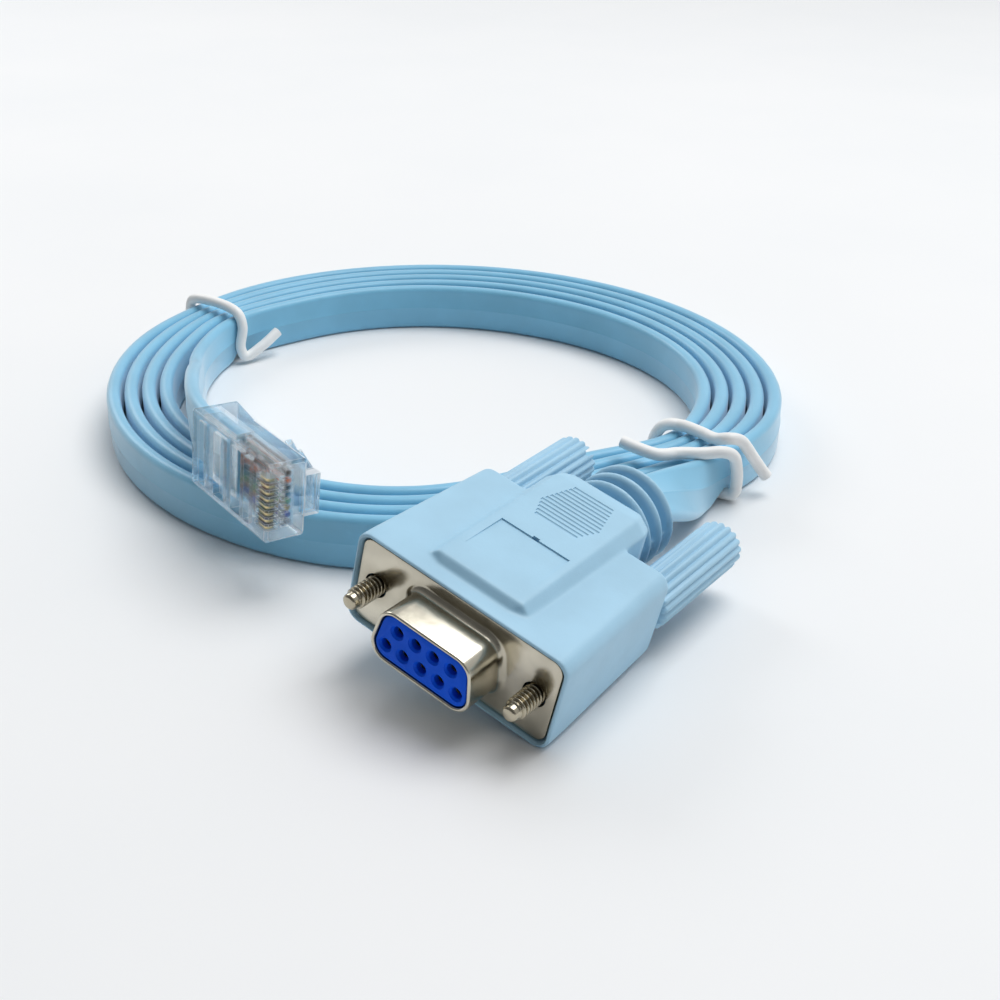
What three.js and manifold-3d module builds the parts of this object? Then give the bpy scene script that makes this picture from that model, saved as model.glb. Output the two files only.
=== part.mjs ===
// Flat console cable: a nine-way D connector in a moulded hood with two thumbscrews,
// 1.5 m of flat eight-conductor cable wound on edge into an oval coil under two
// twist ties, and a clear eight-way modular plug on the far end.
// Millimetres, +Z up. The connector mates towards -Y. The origin lies under the
// middle of the connector, on the surface that the hood's lower right edge rests on.
import * as THREE from 'three';
import { mergeVertices } from 'three/addons/utils/BufferGeometryUtils.js';
import Module from 'manifold-3d';

const wasm = await Module();
wasm.setup();

// Clearances
const seat = 0.2;              // between pieces that are pressed or moulded together
const running = 0.3;           // round anything that turns, and between soft solids
const weld = 0.3;              // depth that joined shapes of one moulding share

// Nine-way D connector
const contactPitch = 2.76;
const rowPitch = 2.84;
const screwSpacing = 24.99;
const flangeEnd = 2.91;        // from a screw's axis to the flange's end
const flangeWidth = screwSpacing + 2 * flangeEnd;
const flangeHeight = 12.5;
const flangeCorner = 1.6;
const flangeThickness = 0.8;
const shellWidth = 16.33;      // outside of the D, widest side
const shellHeight = 7.9;
const shellReach = 6.05;       // from the flange's front to the shell's edge
const shellWall = 0.5;
const shellCorner = 2.5;
const shellSlope = 10;         // degrees, the D's slanted sides
const faceSetback = 0.2;       // insulator's face behind the shell's edge
const socketHole = 0.75;       // radius of each contact hole in the face
const socketOuter = 0.62;
const socketBore = 0.52;
const socketSetback = 0.9;

// Moulded hood
const rimWall = 0.6;           // round the flange
const rimReach = 0.4;          // in front of the flange
const hoodBack = 23.8;         // back of the wings, from the flange's front
const wingTaper = 0.9;         // each side of a wing draws in by this
const hoodCorner = 2.0;
const edgeRound = 0.35;
const panelHalfWidth = 6.4;    // raised middle panel, at its top
const bodyHalfWidth = 8.1;     // middle body, at the wings' level
const bodyHalfHeight = 8.2;
const bodyFront = 1.7;
const bodyBack = 31.5;
const frontSlope = 1.3;
const backRound = 2.0;
const labelHalfWidth = 5.35;
const labelFront = 6.8;
const labelBack = 14.3;
const labelDepth = 0.4;
const gripFront = 18.3;
const gripBack = 27.6;
const gripRidges = 12;
const gripDepth = 0.35;
const gripHalfWidths = [3.4, 4.7, 3.0];   // at the front, a third back, and the back
const screwBore = 1.8;

// Strain relief
const reliefHalfWidth = 5.3;
const reliefHalfHeight = 2.4;
const reliefRadius = 7.2;
const reliefRib = 1.5;
const reliefGap = 1.35;
const reliefRibs = 3;

// Thumbscrews
const screwRadius = 1.42;
const screwReach = 5.1;        // tip in front of the flange
const screwChamfer = 0.5;
const screwInKnob = 10;
const knobRadius = 3.55;
const knobFlutes = 18;
const fluteDepth = 0.35;
const knobLength = 20;
const knobSlot = 1.1;
const knobSlotDepth = 1.4;
const knobSlotTurns = [-50, 15];          // degrees, left and right as they lie

// How the connector lies: its right side low, its left knob over the turns
const connectorRoll = 13.73;   // degrees about its own axis

// Flat cable
const cableWidth = 8.6;
const cableThickness = 2.3;
const cableCorner = 1.0;

// Coil, an oval seen from above with its turns drawn in beside the connector
const coilCentre = new THREE.Vector2(-55.1, 46.05);
const coilHalfX = 59.3;
const coilHalfY = 55.0;
const flatDepth = 7.8;         // how far the straight stretch cuts the oval
const flatAngle = 339;
const flatSpread = 30;
const turnPitch = 2.95;
const tiePinch = 0.6;          // turns lie this much closer under a tie
const tieDraw = 0.8;           // and the outermost one is drawn in by this
const tieAngles = [3, 184];
const tieSpread = 11;
const wholeTurns = 4;
const lastAngle = 192;         // where the innermost turn leaves for the plug
const grooveDepth = 1.8;       // between turns, in the coil's ends
const coilSteps = 36;          // sections in each half of the coil

// Twist ties
const tieRadius = 0.95;
const restingGap = 0.12;       // a wire's lowest stretch over the floor
const tieChannel = 1.5;        // half width of the room for a tie under the turns

// Modular plug
const plugWidth = 11.68;
const plugLength = 21.5;
const plugHeight = 6.2;
const plugRearHeight = 7.3;
const plugRearLength = 7.2;
const plugRear = new THREE.Vector3(-54.4, -6.55, 15.8);   // middle of its cable entry
const plugHeading = -15.4;     // degrees from +X towards +Y, the way its nose points
const plugLean = 6.1;          // degrees, its contact side turned up
const plugDroop = 1.7;         // degrees, its nose lower than its rear
const plugContactPitch = 1.02;
const plugContacts = 8;
const bladeThickness = 0.32;
const bladeLength = 2.2;
const bladeHeight = 1.15;
const bladeSunk = 0.45;        // blades below the contact face
const bladeSetback = 0.5;      // blades behind the nose
const bladeSlot = 0.62;
const bladeRoom = 0.2;         // slots reach this far past the blades
// Hollows across the contact face: where each starts and ends along the plug, and its depth
const plugHollows = [[2.2, 3.9, 0.8], [6.5, 9.5, 1.1], [11.5, 14.2, 1.6], [15.1, 16.8, 1.2]];
const plugRim = 1.0;           // between the hollows and the plug's sides
const plugCorner = 0.4;
const wireRadius = 0.45;
const wireDepth = 3.95;        // from the contact face to the conductors' middle
const entryDepth = 3.3;        // from the contact face to the cable's middle
const entryLength = 9.3;
const wireSetback = 1.4;       // conductors' ends behind the nose
const latchWidth = 3.25;
const latchShoulder = 6.2;
const latchThickness = 1.2;
const latchRise = 12.2;        // latch's tip from the contact face
const latchTip = 6.9;          // latch's tip from the cable entry
const latchRoot = 19.4;
const latchRootHeight = 2.3;
const latchBroad = 8.2;        // latch is broad this far back from the nose

// Colours and finishes
const finish = (color, roughness, metalness = 0) =>
  new THREE.MeshStandardMaterial({ color, roughness, metalness });
const hoodPlastic = finish(0xa9cfe8, 0.55);
const cableJacket = finish(0x8fc0d8, 0.5);
const nickel = finish(0xb9b6aa, 0.28, 1);
const screwSteel = finish(0xc8c4b6, 0.3, 1);
const bluePlastic = finish(0x1049b8, 0.5);
const goldPlate = finish(0xd9b45a, 0.3, 1);
const tieWhite = finish(0xf1f0ee, 0.5);
const clearPlastic = new THREE.MeshStandardMaterial({
  color: 0xe8eef0, roughness: 0.1, transparent: true, opacity: 0.4,
});
const wireColours = [0x6b4a33, 0xe06a2c, 0x1c1c1e, 0x2f6f8a, 0x3f8f55, 0xb58a3a, 0x3c4fa8, 0x8b8f96];

const radians = THREE.MathUtils.degToRad;
const slopeTangent = Math.tan(radians(shellSlope));

// Boolean joins and cuts

function toSolid(geometry) {
  const bare = geometry.index ? geometry.toNonIndexed() : geometry.clone();
  for (const name of Object.keys(bare.attributes)) {
    if (name !== 'position') bare.deleteAttribute(name);
  }
  const merged = mergeVertices(bare, 1e-4);
  return new wasm.Manifold(new wasm.Mesh({
    numProp: 3,
    vertProperties: new Float32Array(merged.attributes.position.array),
    triVerts: new Uint32Array(merged.index.array),
  }));
}

function toGeometry(solid) {
  const mesh = solid.getMesh();
  const geometry = new THREE.BufferGeometry();
  geometry.setAttribute('position', new THREE.BufferAttribute(new Float32Array(mesh.vertProperties), 3));
  geometry.setIndex(new THREE.BufferAttribute(new Uint32Array(mesh.triVerts), 1));
  geometry.computeVertexNormals();
  return geometry;
}

// Outlines

function roundedOutline(corners, radius, steps = 3) {
  const points = [];
  corners.forEach((corner, i) => {
    const before = corners[(i + corners.length - 1) % corners.length];
    const after = corners[(i + 1) % corners.length];
    const toBefore = before.clone().sub(corner).normalize();
    const toAfter = after.clone().sub(corner).normalize();
    const half = Math.acos(THREE.MathUtils.clamp(toBefore.dot(toAfter), -1, 1)) / 2;
    const middle = toBefore.clone().add(toAfter).normalize();
    const centre = corner.clone().addScaledVector(middle, radius / Math.sin(half));
    const start = corner.clone().addScaledVector(toBefore, radius / Math.tan(half)).sub(centre);
    const sweep = Math.PI - 2 * half;
    for (let k = 0; k <= steps; k += 1) {
      points.push(start.clone().rotateAround(new THREE.Vector2(), sweep * k / steps).add(centre));
    }
  });
  return points;
}

function rectangle(halfWidth, halfHeight, radius, steps) {
  const corners = [[-1, -1], [1, -1], [1, 1], [-1, 1]]
    .map(([sx, sy]) => new THREE.Vector2(sx * halfWidth, sy * halfHeight));
  return roundedOutline(corners, radius, steps);
}

// The D: wide side down, sides slanting in towards the top
function dOutline(inset, steps = 4) {
  const halfHeight = shellHeight / 2 - inset;
  const slant = shellHeight / 2 * slopeTangent;
  const middle = shellWidth / 2 - slant - inset / Math.cos(radians(shellSlope));
  const wide = middle + halfHeight * slopeTangent;
  const narrow = middle - halfHeight * slopeTangent;
  const corners = [[-wide, -halfHeight], [wide, -halfHeight], [narrow, halfHeight], [-narrow, halfHeight]]
    .map(([x, y]) => new THREE.Vector2(x, y));
  return roundedOutline(corners, shellCorner - inset, steps);
}

// Solids. Outlines in (x, z) stand in the connector's cross-section, and
// y runs backwards from the flange's front.

function loft(rings) {
  const count = rings[0].length;
  const positions = rings.flat().flatMap((point) => [point.x, point.y, point.z]);
  const indices = [];
  for (let i = 0; i < rings.length - 1; i += 1) {
    for (let j = 0; j < count; j += 1) {
      const a = i * count + j;
      const b = i * count + (j + 1) % count;
      indices.push(a, b, a + count, b, b + count, a + count);
    }
  }
  const flat = rings[0].map((point) => point.flat);
  const last = (rings.length - 1) * count;
  for (const [a, b, c] of THREE.ShapeUtils.triangulateShape(flat, [])) {
    indices.push(c, b, a, last + a, last + b, last + c);
  }
  const geometry = new THREE.BufferGeometry();
  geometry.setAttribute('position', new THREE.Float32BufferAttribute(positions, 3));
  geometry.setIndex(indices);
  geometry.computeVertexNormals();
  return geometry;
}

function placed(point, flat) {
  point.flat = flat;
  return point;
}

const sectionAt = (outline, y) => outline.map((p) => placed(new THREE.Vector3(p.x, y, p.y), p));

const prism = (outline, front, back) => loft([sectionAt(outline, back), sectionAt(outline, front)]);

// A box between two corners
function block(low, high) {
  const size = high.map((value, i) => value - low[i]);
  return new THREE.BoxGeometry(...size).translate(...low.map((value, i) => value + size[i] / 2));
}

// A body of revolution along y, from a profile of [radius, y]
function turned(profile, segments) {
  const points = profile.map(([radius, y]) => new THREE.Vector2(radius, y));
  return new THREE.LatheGeometry(points, segments);
}

const rod = (radius, front, back, segments = 20) =>
  turned([[0, front], [radius, front], [radius, back], [0, back]], segments);

const moved = (geometry, x, y, z) => geometry.translate(x, y, z);

function mesh(name, geometry, material) {
  const object = new THREE.Mesh(geometry, material);
  object.name = name;
  return object;
}

// Places worked out from the sizes above
const rimHalfWidth = flangeWidth / 2 + seat + rimWall;
const rimHalfHeight = flangeHeight / 2 + seat + rimWall;
const pocketDepth = flangeThickness + seat;
const knobFront = hoodBack + running;
const knobBack = knobFront + knobLength;
const reliefBack = bodyBack + reliefRibs * (reliefRib + reliefGap) + edgeRound;
const connectorMiddle = (knobBack - shellReach) / 2;   // shifts the origin to the middle

// Hood

function wings() {
  const taper = (y) => wingTaper * Math.max(0, y - bodyFront) / (hoodBack - bodyFront);
  const ring = (y, inset) => sectionAt(
    rectangle(rimHalfWidth - taper(y) - inset, rimHalfHeight - taper(y) / 3 - inset, hoodCorner - inset, 4), y);
  return loft([
    ring(hoodBack, edgeRound * 2), ring(hoodBack - edgeRound, edgeRound / 2), ring(hoodBack - 3 * edgeRound, 0),
    ring(bodyFront, 0), ring(0, 0), ring(-rimReach + edgeRound / 2, edgeRound / 4), ring(-rimReach, edgeRound),
  ]);
}

// Middle body: an eight-sided section, smaller towards its front slope and back
function middleBody() {
  const section = (inset, y) => {
    const halfHeight = bodyHalfHeight - inset;
    const halfWidth = bodyHalfWidth - inset;
    const top = panelHalfWidth - inset;
    const shoulder = rimHalfHeight - inset - edgeRound;
    const corners = [[-top, -halfHeight], [top, -halfHeight], [halfWidth, -shoulder], [halfWidth, shoulder],
      [top, halfHeight], [-top, halfHeight], [-halfWidth, shoulder], [-halfWidth, -shoulder]]
      .map(([x, z]) => new THREE.Vector2(x, z));
    return sectionAt(roundedOutline(corners, 0.6, 2), y);
  };
  return loft([
    section(backRound, bodyBack), section(backRound / 2, bodyBack - backRound / 4),
    section(backRound / 6, bodyBack - backRound), section(0, bodyBack - 1.8 * backRound),
    section(0, bodyFront + frontSlope), section(frontSlope + 0.3, bodyFront),
  ]);
}

// Three open rings on a flat core, which let the cable bend
function strainRelief() {
  let relief = toSolid(prism(rectangle(reliefHalfWidth, reliefHalfHeight, 1.2, 3), bodyBack - 2 * weld, reliefBack));
  for (let i = 0; i < reliefRibs; i += 1) {
    const front = bodyBack + reliefGap + i * (reliefRib + reliefGap);
    const back = i === reliefRibs - 1 ? reliefBack : front + reliefRib;
    relief = relief.add(toSolid(turned([[0, front], [reliefRadius - edgeRound, front],
      [reliefRadius, front + edgeRound], [reliefRadius, back - edgeRound],
      [reliefRadius - edgeRound, back], [0, back]], 36)));
  }
  return relief;
}

// Half width of the grip's outline at a distance behind the flange
function gripHalfWidth(y) {
  const [front, wide, back] = gripHalfWidths;
  const share = (y - gripFront) / (gripBack - gripFront);
  return share < 1 / 3
    ? THREE.MathUtils.lerp(front, wide, share * 3)
    : THREE.MathUtils.lerp(wide, back, (share - 1 / 3) * 1.5);
}

function hood() {
  let solid = toSolid(wings()).add(toSolid(middleBody())).add(strainRelief());
  const pocket = rectangle(flangeWidth / 2 + seat, flangeHeight / 2 + seat, flangeCorner, 4);
  solid = solid.subtract(toSolid(prism(pocket, -rimReach - 1, pocketDepth)));
  for (const side of [-1, 1]) {
    const bore = moved(rod(screwBore, 0, hoodBack + 1), side * screwSpacing / 2, 0, 0);
    solid = solid.subtract(toSolid(bore));
  }
  const label = block([-labelHalfWidth, labelFront - labelBack, 0], [labelHalfWidth, 0, 2]);
  label.rotateX(Math.atan2(labelDepth, labelBack - labelFront)).translate(0, labelBack, bodyHalfHeight - labelDepth);
  solid = solid.subtract(toSolid(label));
  const gripPitch = (gripBack - gripFront) / gripRidges;
  for (let i = 0; i < gripRidges; i += 1) {
    const y = gripFront + (i + 0.5) * gripPitch;
    const half = gripHalfWidth(y);
    const groove = new THREE.CylinderGeometry(gripDepth, gripDepth, 2 * half, 4);
    groove.rotateZ(Math.PI / 2).translate(0, y, bodyHalfHeight);
    solid = solid.subtract(toSolid(groove));
  }
  return mesh('moulded_hood', toGeometry(solid), hoodPlastic);
}

// Connector front

function shell() {
  let solid = toSolid(prism(rectangle(flangeWidth / 2, flangeHeight / 2, flangeCorner, 4), 0, flangeThickness));
  solid = solid.add(toSolid(loft([
    sectionAt(dOutline(0), weld), sectionAt(dOutline(0), edgeRound - shellReach),
    sectionAt(dOutline(shellWall / 3), -shellReach),
  ])));
  solid = solid.subtract(toSolid(prism(dOutline(shellWall), -shellReach - 1, flangeThickness + 1)));
  for (const side of [-1, 1]) {
    const hole = moved(rod(screwBore, -1, flangeThickness + 1), side * screwSpacing / 2, 0, 0);
    solid = solid.subtract(toSolid(hole));
  }
  return mesh('connector_shell', toGeometry(solid), nickel);
}

// Contact places as the connector is looked at: four above, five below
function contactPlaces() {
  const places = [];
  for (const [count, side] of [[4, 1], [5, -1]]) {
    for (let i = 0; i < count; i += 1) {
      places.push([(i - (count - 1) / 2) * contactPitch, side * rowPitch / 2]);
    }
  }
  return places;
}

const faceFront = faceSetback - shellReach;
const insulatorBack = flangeThickness;

function insulator() {
  let solid = toSolid(prism(dOutline(shellWall + seat), faceFront, insulatorBack));
  for (const [x, z] of contactPlaces()) {
    const hole = turned([[0, faceFront - 1], [socketHole + 0.3, faceFront - 1], [socketHole + 0.3, faceFront],
      [socketHole, faceFront + 0.3], [socketHole, insulatorBack + 1], [0, insulatorBack + 1]], 16);
    solid = solid.subtract(toSolid(moved(hole, x, 0, z)));
  }
  return mesh('connector_insulator', toGeometry(solid), bluePlastic);
}

function sockets() {
  const front = faceFront + socketSetback;
  return contactPlaces().map(([x, z], i) => {
    const tube = turned([[socketBore, front], [socketOuter, front], [socketOuter, insulatorBack],
      [socketBore, insulatorBack], [socketBore, front]], 12);
    return mesh(`socket_contact_${i + 1}`, moved(tube, x, 0, z), goldPlate);
  });
}

// Thumbscrews

function jackscrew(side) {
  const name = side < 0 ? 'jackscrew_left' : 'jackscrew_right';
  const back = knobFront + screwInKnob;
  const shank = turned([[0, -screwReach], [screwRadius - screwChamfer, -screwReach],
    [screwRadius, screwChamfer - screwReach], [screwRadius, back], [0, back]], 16);
  return mesh(name, moved(shank, side * screwSpacing / 2, 0, 0), screwSteel);
}

function knob(side) {
  const name = side < 0 ? 'thumb_knob_left' : 'thumb_knob_right';
  const outline = (inset) => {
    const points = [];
    for (let i = 0; i < knobFlutes * 4; i += 1) {
      const radius = (i % 4 < 2 ? knobRadius : knobRadius - fluteDepth) - inset;
      const angle = (i + (i % 2 ? -0.2 : 0.2)) * Math.PI / (2 * knobFlutes);
      points.push(new THREE.Vector2(Math.cos(angle) * radius, Math.sin(angle) * radius));
    }
    return points;
  };
  let solid = toSolid(loft([
    sectionAt(outline(2 * edgeRound), knobBack), sectionAt(outline(0), knobBack - 2 * edgeRound),
    sectionAt(outline(0), knobFront + edgeRound), sectionAt(outline(edgeRound), knobFront),
  ]));
  const socket = rod(screwRadius + seat, knobFront - 1, knobFront + screwInKnob + seat, 16);
  const slot = block([-knobRadius - 1, knobBack - knobSlotDepth, -knobSlot / 2], [knobRadius + 1, knobBack + 1, knobSlot / 2]);
  slot.rotateY(radians(side < 0 ? knobSlotTurns[0] : knobSlotTurns[1]));
  solid = solid.subtract(toSolid(socket)).subtract(toSolid(slot));
  return mesh(name, moved(toGeometry(solid), side * screwSpacing / 2, 0, 0), hoodPlastic);
}

// The connector turned about its own axis, its lowest edge at the floor
function connector() {
  const group = new THREE.Group();
  const moulding = hood();
  group.add(moulding, shell(), insulator(), ...sockets());
  for (const side of [-1, 1]) group.add(jackscrew(side), knob(side));
  group.rotation.y = radians(connectorRoll);
  group.updateMatrix();
  const rolled = moulding.geometry.clone().applyMatrix4(group.matrix);
  rolled.computeBoundingBox();
  group.position.set(0, -connectorMiddle, -rolled.boundingBox.min.z);
  group.updateMatrix();
  return group;
}

// Flat cable: a section swept along a route, its wide side along a given direction
function flatCable(route) {
  const section = rectangle(cableWidth / 2, cableThickness / 2, cableCorner, 2);
  const rings = route.map(({ at, wide }, i) => {
    const before = route[Math.max(i - 1, 0)].at;
    const after = route[Math.min(i + 1, route.length - 1)].at;
    const along = after.clone().sub(before).normalize();
    const width = wide.clone().addScaledVector(along, -wide.dot(along)).normalize();
    const thick = new THREE.Vector3().crossVectors(along, width);
    return section.map((p) => placed(
      at.clone().addScaledVector(width, p.x).addScaledVector(thick, p.y), p));
  });
  return loft(rings);
}

// A smooth route through chosen points, each with the direction of the wide side
function smoothRoute(points, steps) {
  const line = new THREE.CatmullRomCurve3(points.map((p) => p.at), false, 'centripetal');
  const turn = new THREE.CatmullRomCurve3(points.map((p) => p.wide), false, 'centripetal');
  return Array.from({ length: steps + 1 }, (_, i) => ({
    at: line.getPoint(i / steps), wide: turn.getPoint(i / steps).normalize(),
  }));
}

// The same route with its bends eased and its two ends kept
function eased(route, rounds) {
  const between = (a, b, c) => a.clone().add(c).multiplyScalar(0.25).addScaledVector(b, 0.5);
  let line = route;
  for (let k = 0; k < rounds; k += 1) {
    line = line.map((here, i) => {
      if (i < 2 || i > line.length - 3) return here;
      const [before, after] = [line[i - 1], line[i + 1]];
      return {
        at: between(before.at, here.at, after.at),
        wide: between(before.wide, here.wide, after.wide).normalize(),
      };
    });
  }
  return line;
}

// Coil

const bump = (angle, middle, spread) => {
  const away = THREE.MathUtils.euclideanModulo(angle - middle + 180, 360) - 180;
  return Math.exp(-((away / spread) ** 2));
};

function coilRadius(angle, turns) {
  const a = radians(angle);
  const oval = 1 / Math.hypot(Math.cos(a) / coilHalfX, Math.sin(a) / coilHalfY);
  const tied = tieAngles.reduce((sum, tie) => sum + bump(angle, tie, tieSpread), 0);
  const drawn = flatDepth * bump(angle, flatAngle, flatSpread) + tieDraw * tied;
  return oval - drawn - (turnPitch - tiePinch * tied) * turns;
}

// A place on the cable's middle line, counted in turns from where the coil starts
function onCoil(turns, offset = 0, z = cableWidth / 2) {
  const angle = 360 * turns;
  const radius = coilRadius(angle, turns) + offset;
  return new THREE.Vector3(
    coilCentre.x + radius * Math.cos(radians(angle)), coilCentre.y + radius * Math.sin(radians(angle)), z);
}

// Section across several turns: flat tops, with a groove between each two
function turnsSection(turns, count) {
  const halfTop = cableThickness / 2 - cableCorner / 2;
  const halfCable = cableThickness / 2;
  const top = [];
  for (let band = 0; band < count; band += 1) {
    const edge = cableWidth - cableCorner / 2;
    const outerEdge = band === 0 ? [[0, halfCable, edge]] : [];
    top.push(...outerEdge, [band, halfTop, cableWidth], [band, -halfTop, cableWidth]);
    if (band < count - 1) top.push([band + 0.5, 0, cableWidth - grooveDepth]);
    else top.push([band, -halfCable, edge]);
  }
  const bottom = top.map(([band, offset, z]) => [band, offset, cableWidth - z]).reverse();
  return [...top, ...bottom].map(([band, offset, z]) => {
    const here = turns + band;
    const angle = 360 * turns;
    const radius = coilRadius(angle, here) + offset;
    const point = new THREE.Vector3(coilCentre.x + radius * Math.cos(radians(angle)),
      coilCentre.y + radius * Math.sin(radians(angle)), z);
    return placed(point, new THREE.Vector2(radius, z));
  });
}

function turnsArc(fromAngle, toAngle, count) {
  const rings = [];
  for (let i = 0; i <= coilSteps; i += 1) {
    const angle = THREE.MathUtils.lerp(fromAngle, toAngle, i / coilSteps);
    rings.push(turnsSection(angle / 360, count));
  }
  return toSolid(loft(rings.reverse()));
}

function coil(ties) {
  let solid = turnsArc(0, lastAngle, wholeTurns + 1).add(turnsArc(lastAngle, 360, wholeTurns));
  for (const { channel } of ties) solid = solid.subtract(toSolid(channel));
  return mesh('cable_coil', toGeometry(solid), cableJacket);
}

// Twist ties: a wire round each bundle with its ends bent away

function wire(points, radius, segments) {
  const bent = new THREE.CatmullRomCurve3(points, false, 'centripetal');
  const resting = bent.getPoints(segments).map((p) => p.setZ(Math.max(p.z, radius + restingGap)));
  const curve = new THREE.CatmullRomCurve3(resting, false, 'centripetal');
  const section = new THREE.Shape().absarc(0, 0, radius, 0, 2 * Math.PI);
  return new THREE.ExtrudeGeometry(section, {
    steps: segments, bevelEnabled: false, extrudePath: curve, curveSegments: 4,
  });
}

function tie(name, points, under) {
  const [from, to] = under;
  const along = to.clone().sub(from);
  const channel = block([-tieChannel, -1, -1], [tieChannel, along.length() + 1, 2 * tieRadius + running]);
  channel.rotateZ(Math.atan2(along.y, along.x) - Math.PI / 2).translate(from.x, from.y, 0);
  return { mesh: mesh(name, wire(points, tieRadius, 46), tieWhite), channel };
}

const tieTop = cableWidth + running + tieRadius;
const tieFoot = tieRadius;

function rightTie() {
  const outer = onCoil(tieAngles[0] / 360, cableThickness / 2 + running + tieRadius);
  const inner = onCoil(wholeTurns + tieAngles[0] / 360, -cableThickness / 2 - running - tieRadius);
  const at = (base, dx, dy, z) => new THREE.Vector3(base.x + dx, base.y + dy, z);
  const points = [
    at(inner, 0.7, -11.5, tieTop + 1.8), at(inner, 3.8, -11, tieTop + 1.2), at(outer, -7.5, -10.6, tieTop + 0.6),
    at(outer, -5.8, -7.7, tieTop + 0.2), at(outer, -2.9, -5.4, tieTop + 0.1), at(outer, -0.5, -3.1, tieTop + 0.1),
    at(outer, 0.5, -1.7, tieTop - 0.8), at(outer, 0.6, -0.5, tieTop - 3.4), at(outer, 0.4, 0.3, tieFoot + 2.4),
    at(outer, 0.2, 0.1, tieFoot + 0.7), at(outer, -0.9, 0, tieFoot), at(inner, 1.2, 0.1, tieFoot),
    at(inner, -0.4, 0, tieFoot + 1.6), at(inner, -0.4, 0.2, tieTop - 2.2), at(inner, 1, 0.8, tieTop),
    at(inner, 3, 2, tieTop + 0.1), at(outer, -7.4, 1.2, tieTop), at(outer, -3.8, 0.3, tieTop + 0.1),
    at(outer, -1.6, 0, tieTop + 0.9), at(outer, -0.2, 1.5, tieTop + 0.4), at(outer, 0.9, 3.4, tieTop - 2.4),
    at(outer, 1.8, 4.8, tieTop - 4.8), at(outer, 2.9, 5.5, tieTop - 6.6),
  ];
  return tie('twist_tie_right', points, [outer, inner]);
}

function leftTie() {
  const turns = 0.5 + (tieAngles[1] - 180) / 360;
  const outer = onCoil(turns, cableThickness / 2 + running + tieRadius);
  const inner = onCoil(turns + wholeTurns, -cableThickness / 2 - running - tieRadius);
  const at = (base, dx, dy, z) => new THREE.Vector3(base.x + dx, base.y + dy, z);
  const points = [
    at(inner, 2.6, 6.9, tieFoot + 3.6), at(inner, 2, 3, tieFoot + 1.7), at(inner, 1, -0.4, tieFoot + 0.5),
    at(inner, 0.4, -0.9, tieFoot + 2.2), at(inner, 0.4, 0, tieTop - 2.4), at(inner, -0.9, 0.1, tieTop),
    at(outer, 1, 1.2, tieTop), at(outer, -0.3, 1.3, tieTop - 1.8), at(outer, -0.3, 1.1, tieFoot + 1.6),
    at(outer, 0.9, 0.9, tieFoot), at(inner, -3, 0.4, tieFoot),
  ];
  return tie('twist_tie_left', points, [at(outer, 0, 1, 0), at(inner, 0, 0.2, 0)]);
}

// Modular plug, in its own frame: x across (up as it lies), y out of the
// contact face, z towards the nose, from the middle of its cable entry

const plugBasis = (() => {
  const turn = new THREE.Euler(0, 0, radians(plugHeading), 'XYZ');
  const nose = new THREE.Vector3(Math.cos(radians(plugDroop)), 0, -Math.sin(radians(plugDroop))).applyEuler(turn);
  const level = new THREE.Vector3(0, -1, 0).applyEuler(turn);
  const out = level.applyAxisAngle(nose, -radians(plugLean)).normalize();
  const up = new THREE.Vector3().crossVectors(out, nose);
  return { up, out, nose, matrix: new THREE.Matrix4().makeBasis(up, out, nose).setPosition(plugRear) };
})();

const contactFace = entryDepth;                    // y of the contact face
const latchFace = entryDepth - plugHeight;         // y of the latch side
const rearFace = entryDepth - plugRearHeight;      // y of the latch side at the rear
const bladeX = (i) => ((plugContacts - 1) / 2 - i) * plugContactPitch;
const bladeFront = plugLength - bladeSetback - bladeLength;
const bladeBottom = bladeSunk + bladeHeight;

// Section of the plug in (x, y) at a distance z along it
function plugSection(low, high, z, inset = 0) {
  const outline = rectangle(plugWidth / 2 - inset, (high - low) / 2 - inset, plugCorner, 2);
  return outline.map((p) => placed(new THREE.Vector3(p.x, p.y + (high + low) / 2, z), p));
}

function plugBody() {
  let solid = toSolid(loft([
    plugSection(rearFace, contactFace, 0, edgeRound), plugSection(rearFace, contactFace, edgeRound),
    plugSection(latchFace, contactFace, plugRearLength), plugSection(latchFace, contactFace, plugLength - edgeRound),
    plugSection(latchFace, contactFace, plugLength, edgeRound),
  ]));
  const root = block([-latchShoulder / 2, latchFace - latchRootHeight, latchRoot + running],
    [latchShoulder / 2, latchFace + weld, plugLength - edgeRound]);
  solid = solid.add(toSolid(root));
  const wireY = contactFace - wireDepth;
  const wiresHalf = (plugContacts - 1) / 2 * plugContactPitch + wireRadius + seat;
  const cuts = [
    block([-cableWidth / 2 - running, -cableThickness / 2 - running, -1],
      [cableWidth / 2 + running, cableThickness / 2 + running, entryLength + running]),
    block([-wiresHalf, wireY - wireRadius - seat, entryLength],
      [wiresHalf, wireY + wireRadius + seat, plugLength - wireSetback + 2 * seat]),
  ];
  const half = plugWidth / 2 - plugRim;
  for (const [front, back, depth] of plugHollows) {
    cuts.push(block([-half, contactFace - depth, front], [half, contactFace + 1, back]));
  }
  for (let i = 0; i < plugContacts; i += 1) {
    const x = bladeX(i);
    cuts.push(block([x - bladeSlot / 2, contactFace - bladeBottom - bladeRoom, bladeFront - bladeRoom],
      [x + bladeSlot / 2, contactFace + 1, plugLength + 1]));
  }
  for (const cut of cuts) solid = solid.subtract(toSolid(cut));
  return mesh('plug_body', toGeometry(solid), clearPlastic);
}

function plugBlades() {
  return Array.from({ length: plugContacts }, (_, i) => {
    const x = bladeX(i);
    const blade = block([x - bladeThickness / 2, contactFace - bladeBottom, bladeFront],
      [x + bladeThickness / 2, contactFace - bladeSunk, bladeFront + bladeLength]);
    return mesh(`plug_contact_${i + 1}`, blade, goldPlate);
  });
}

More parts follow.
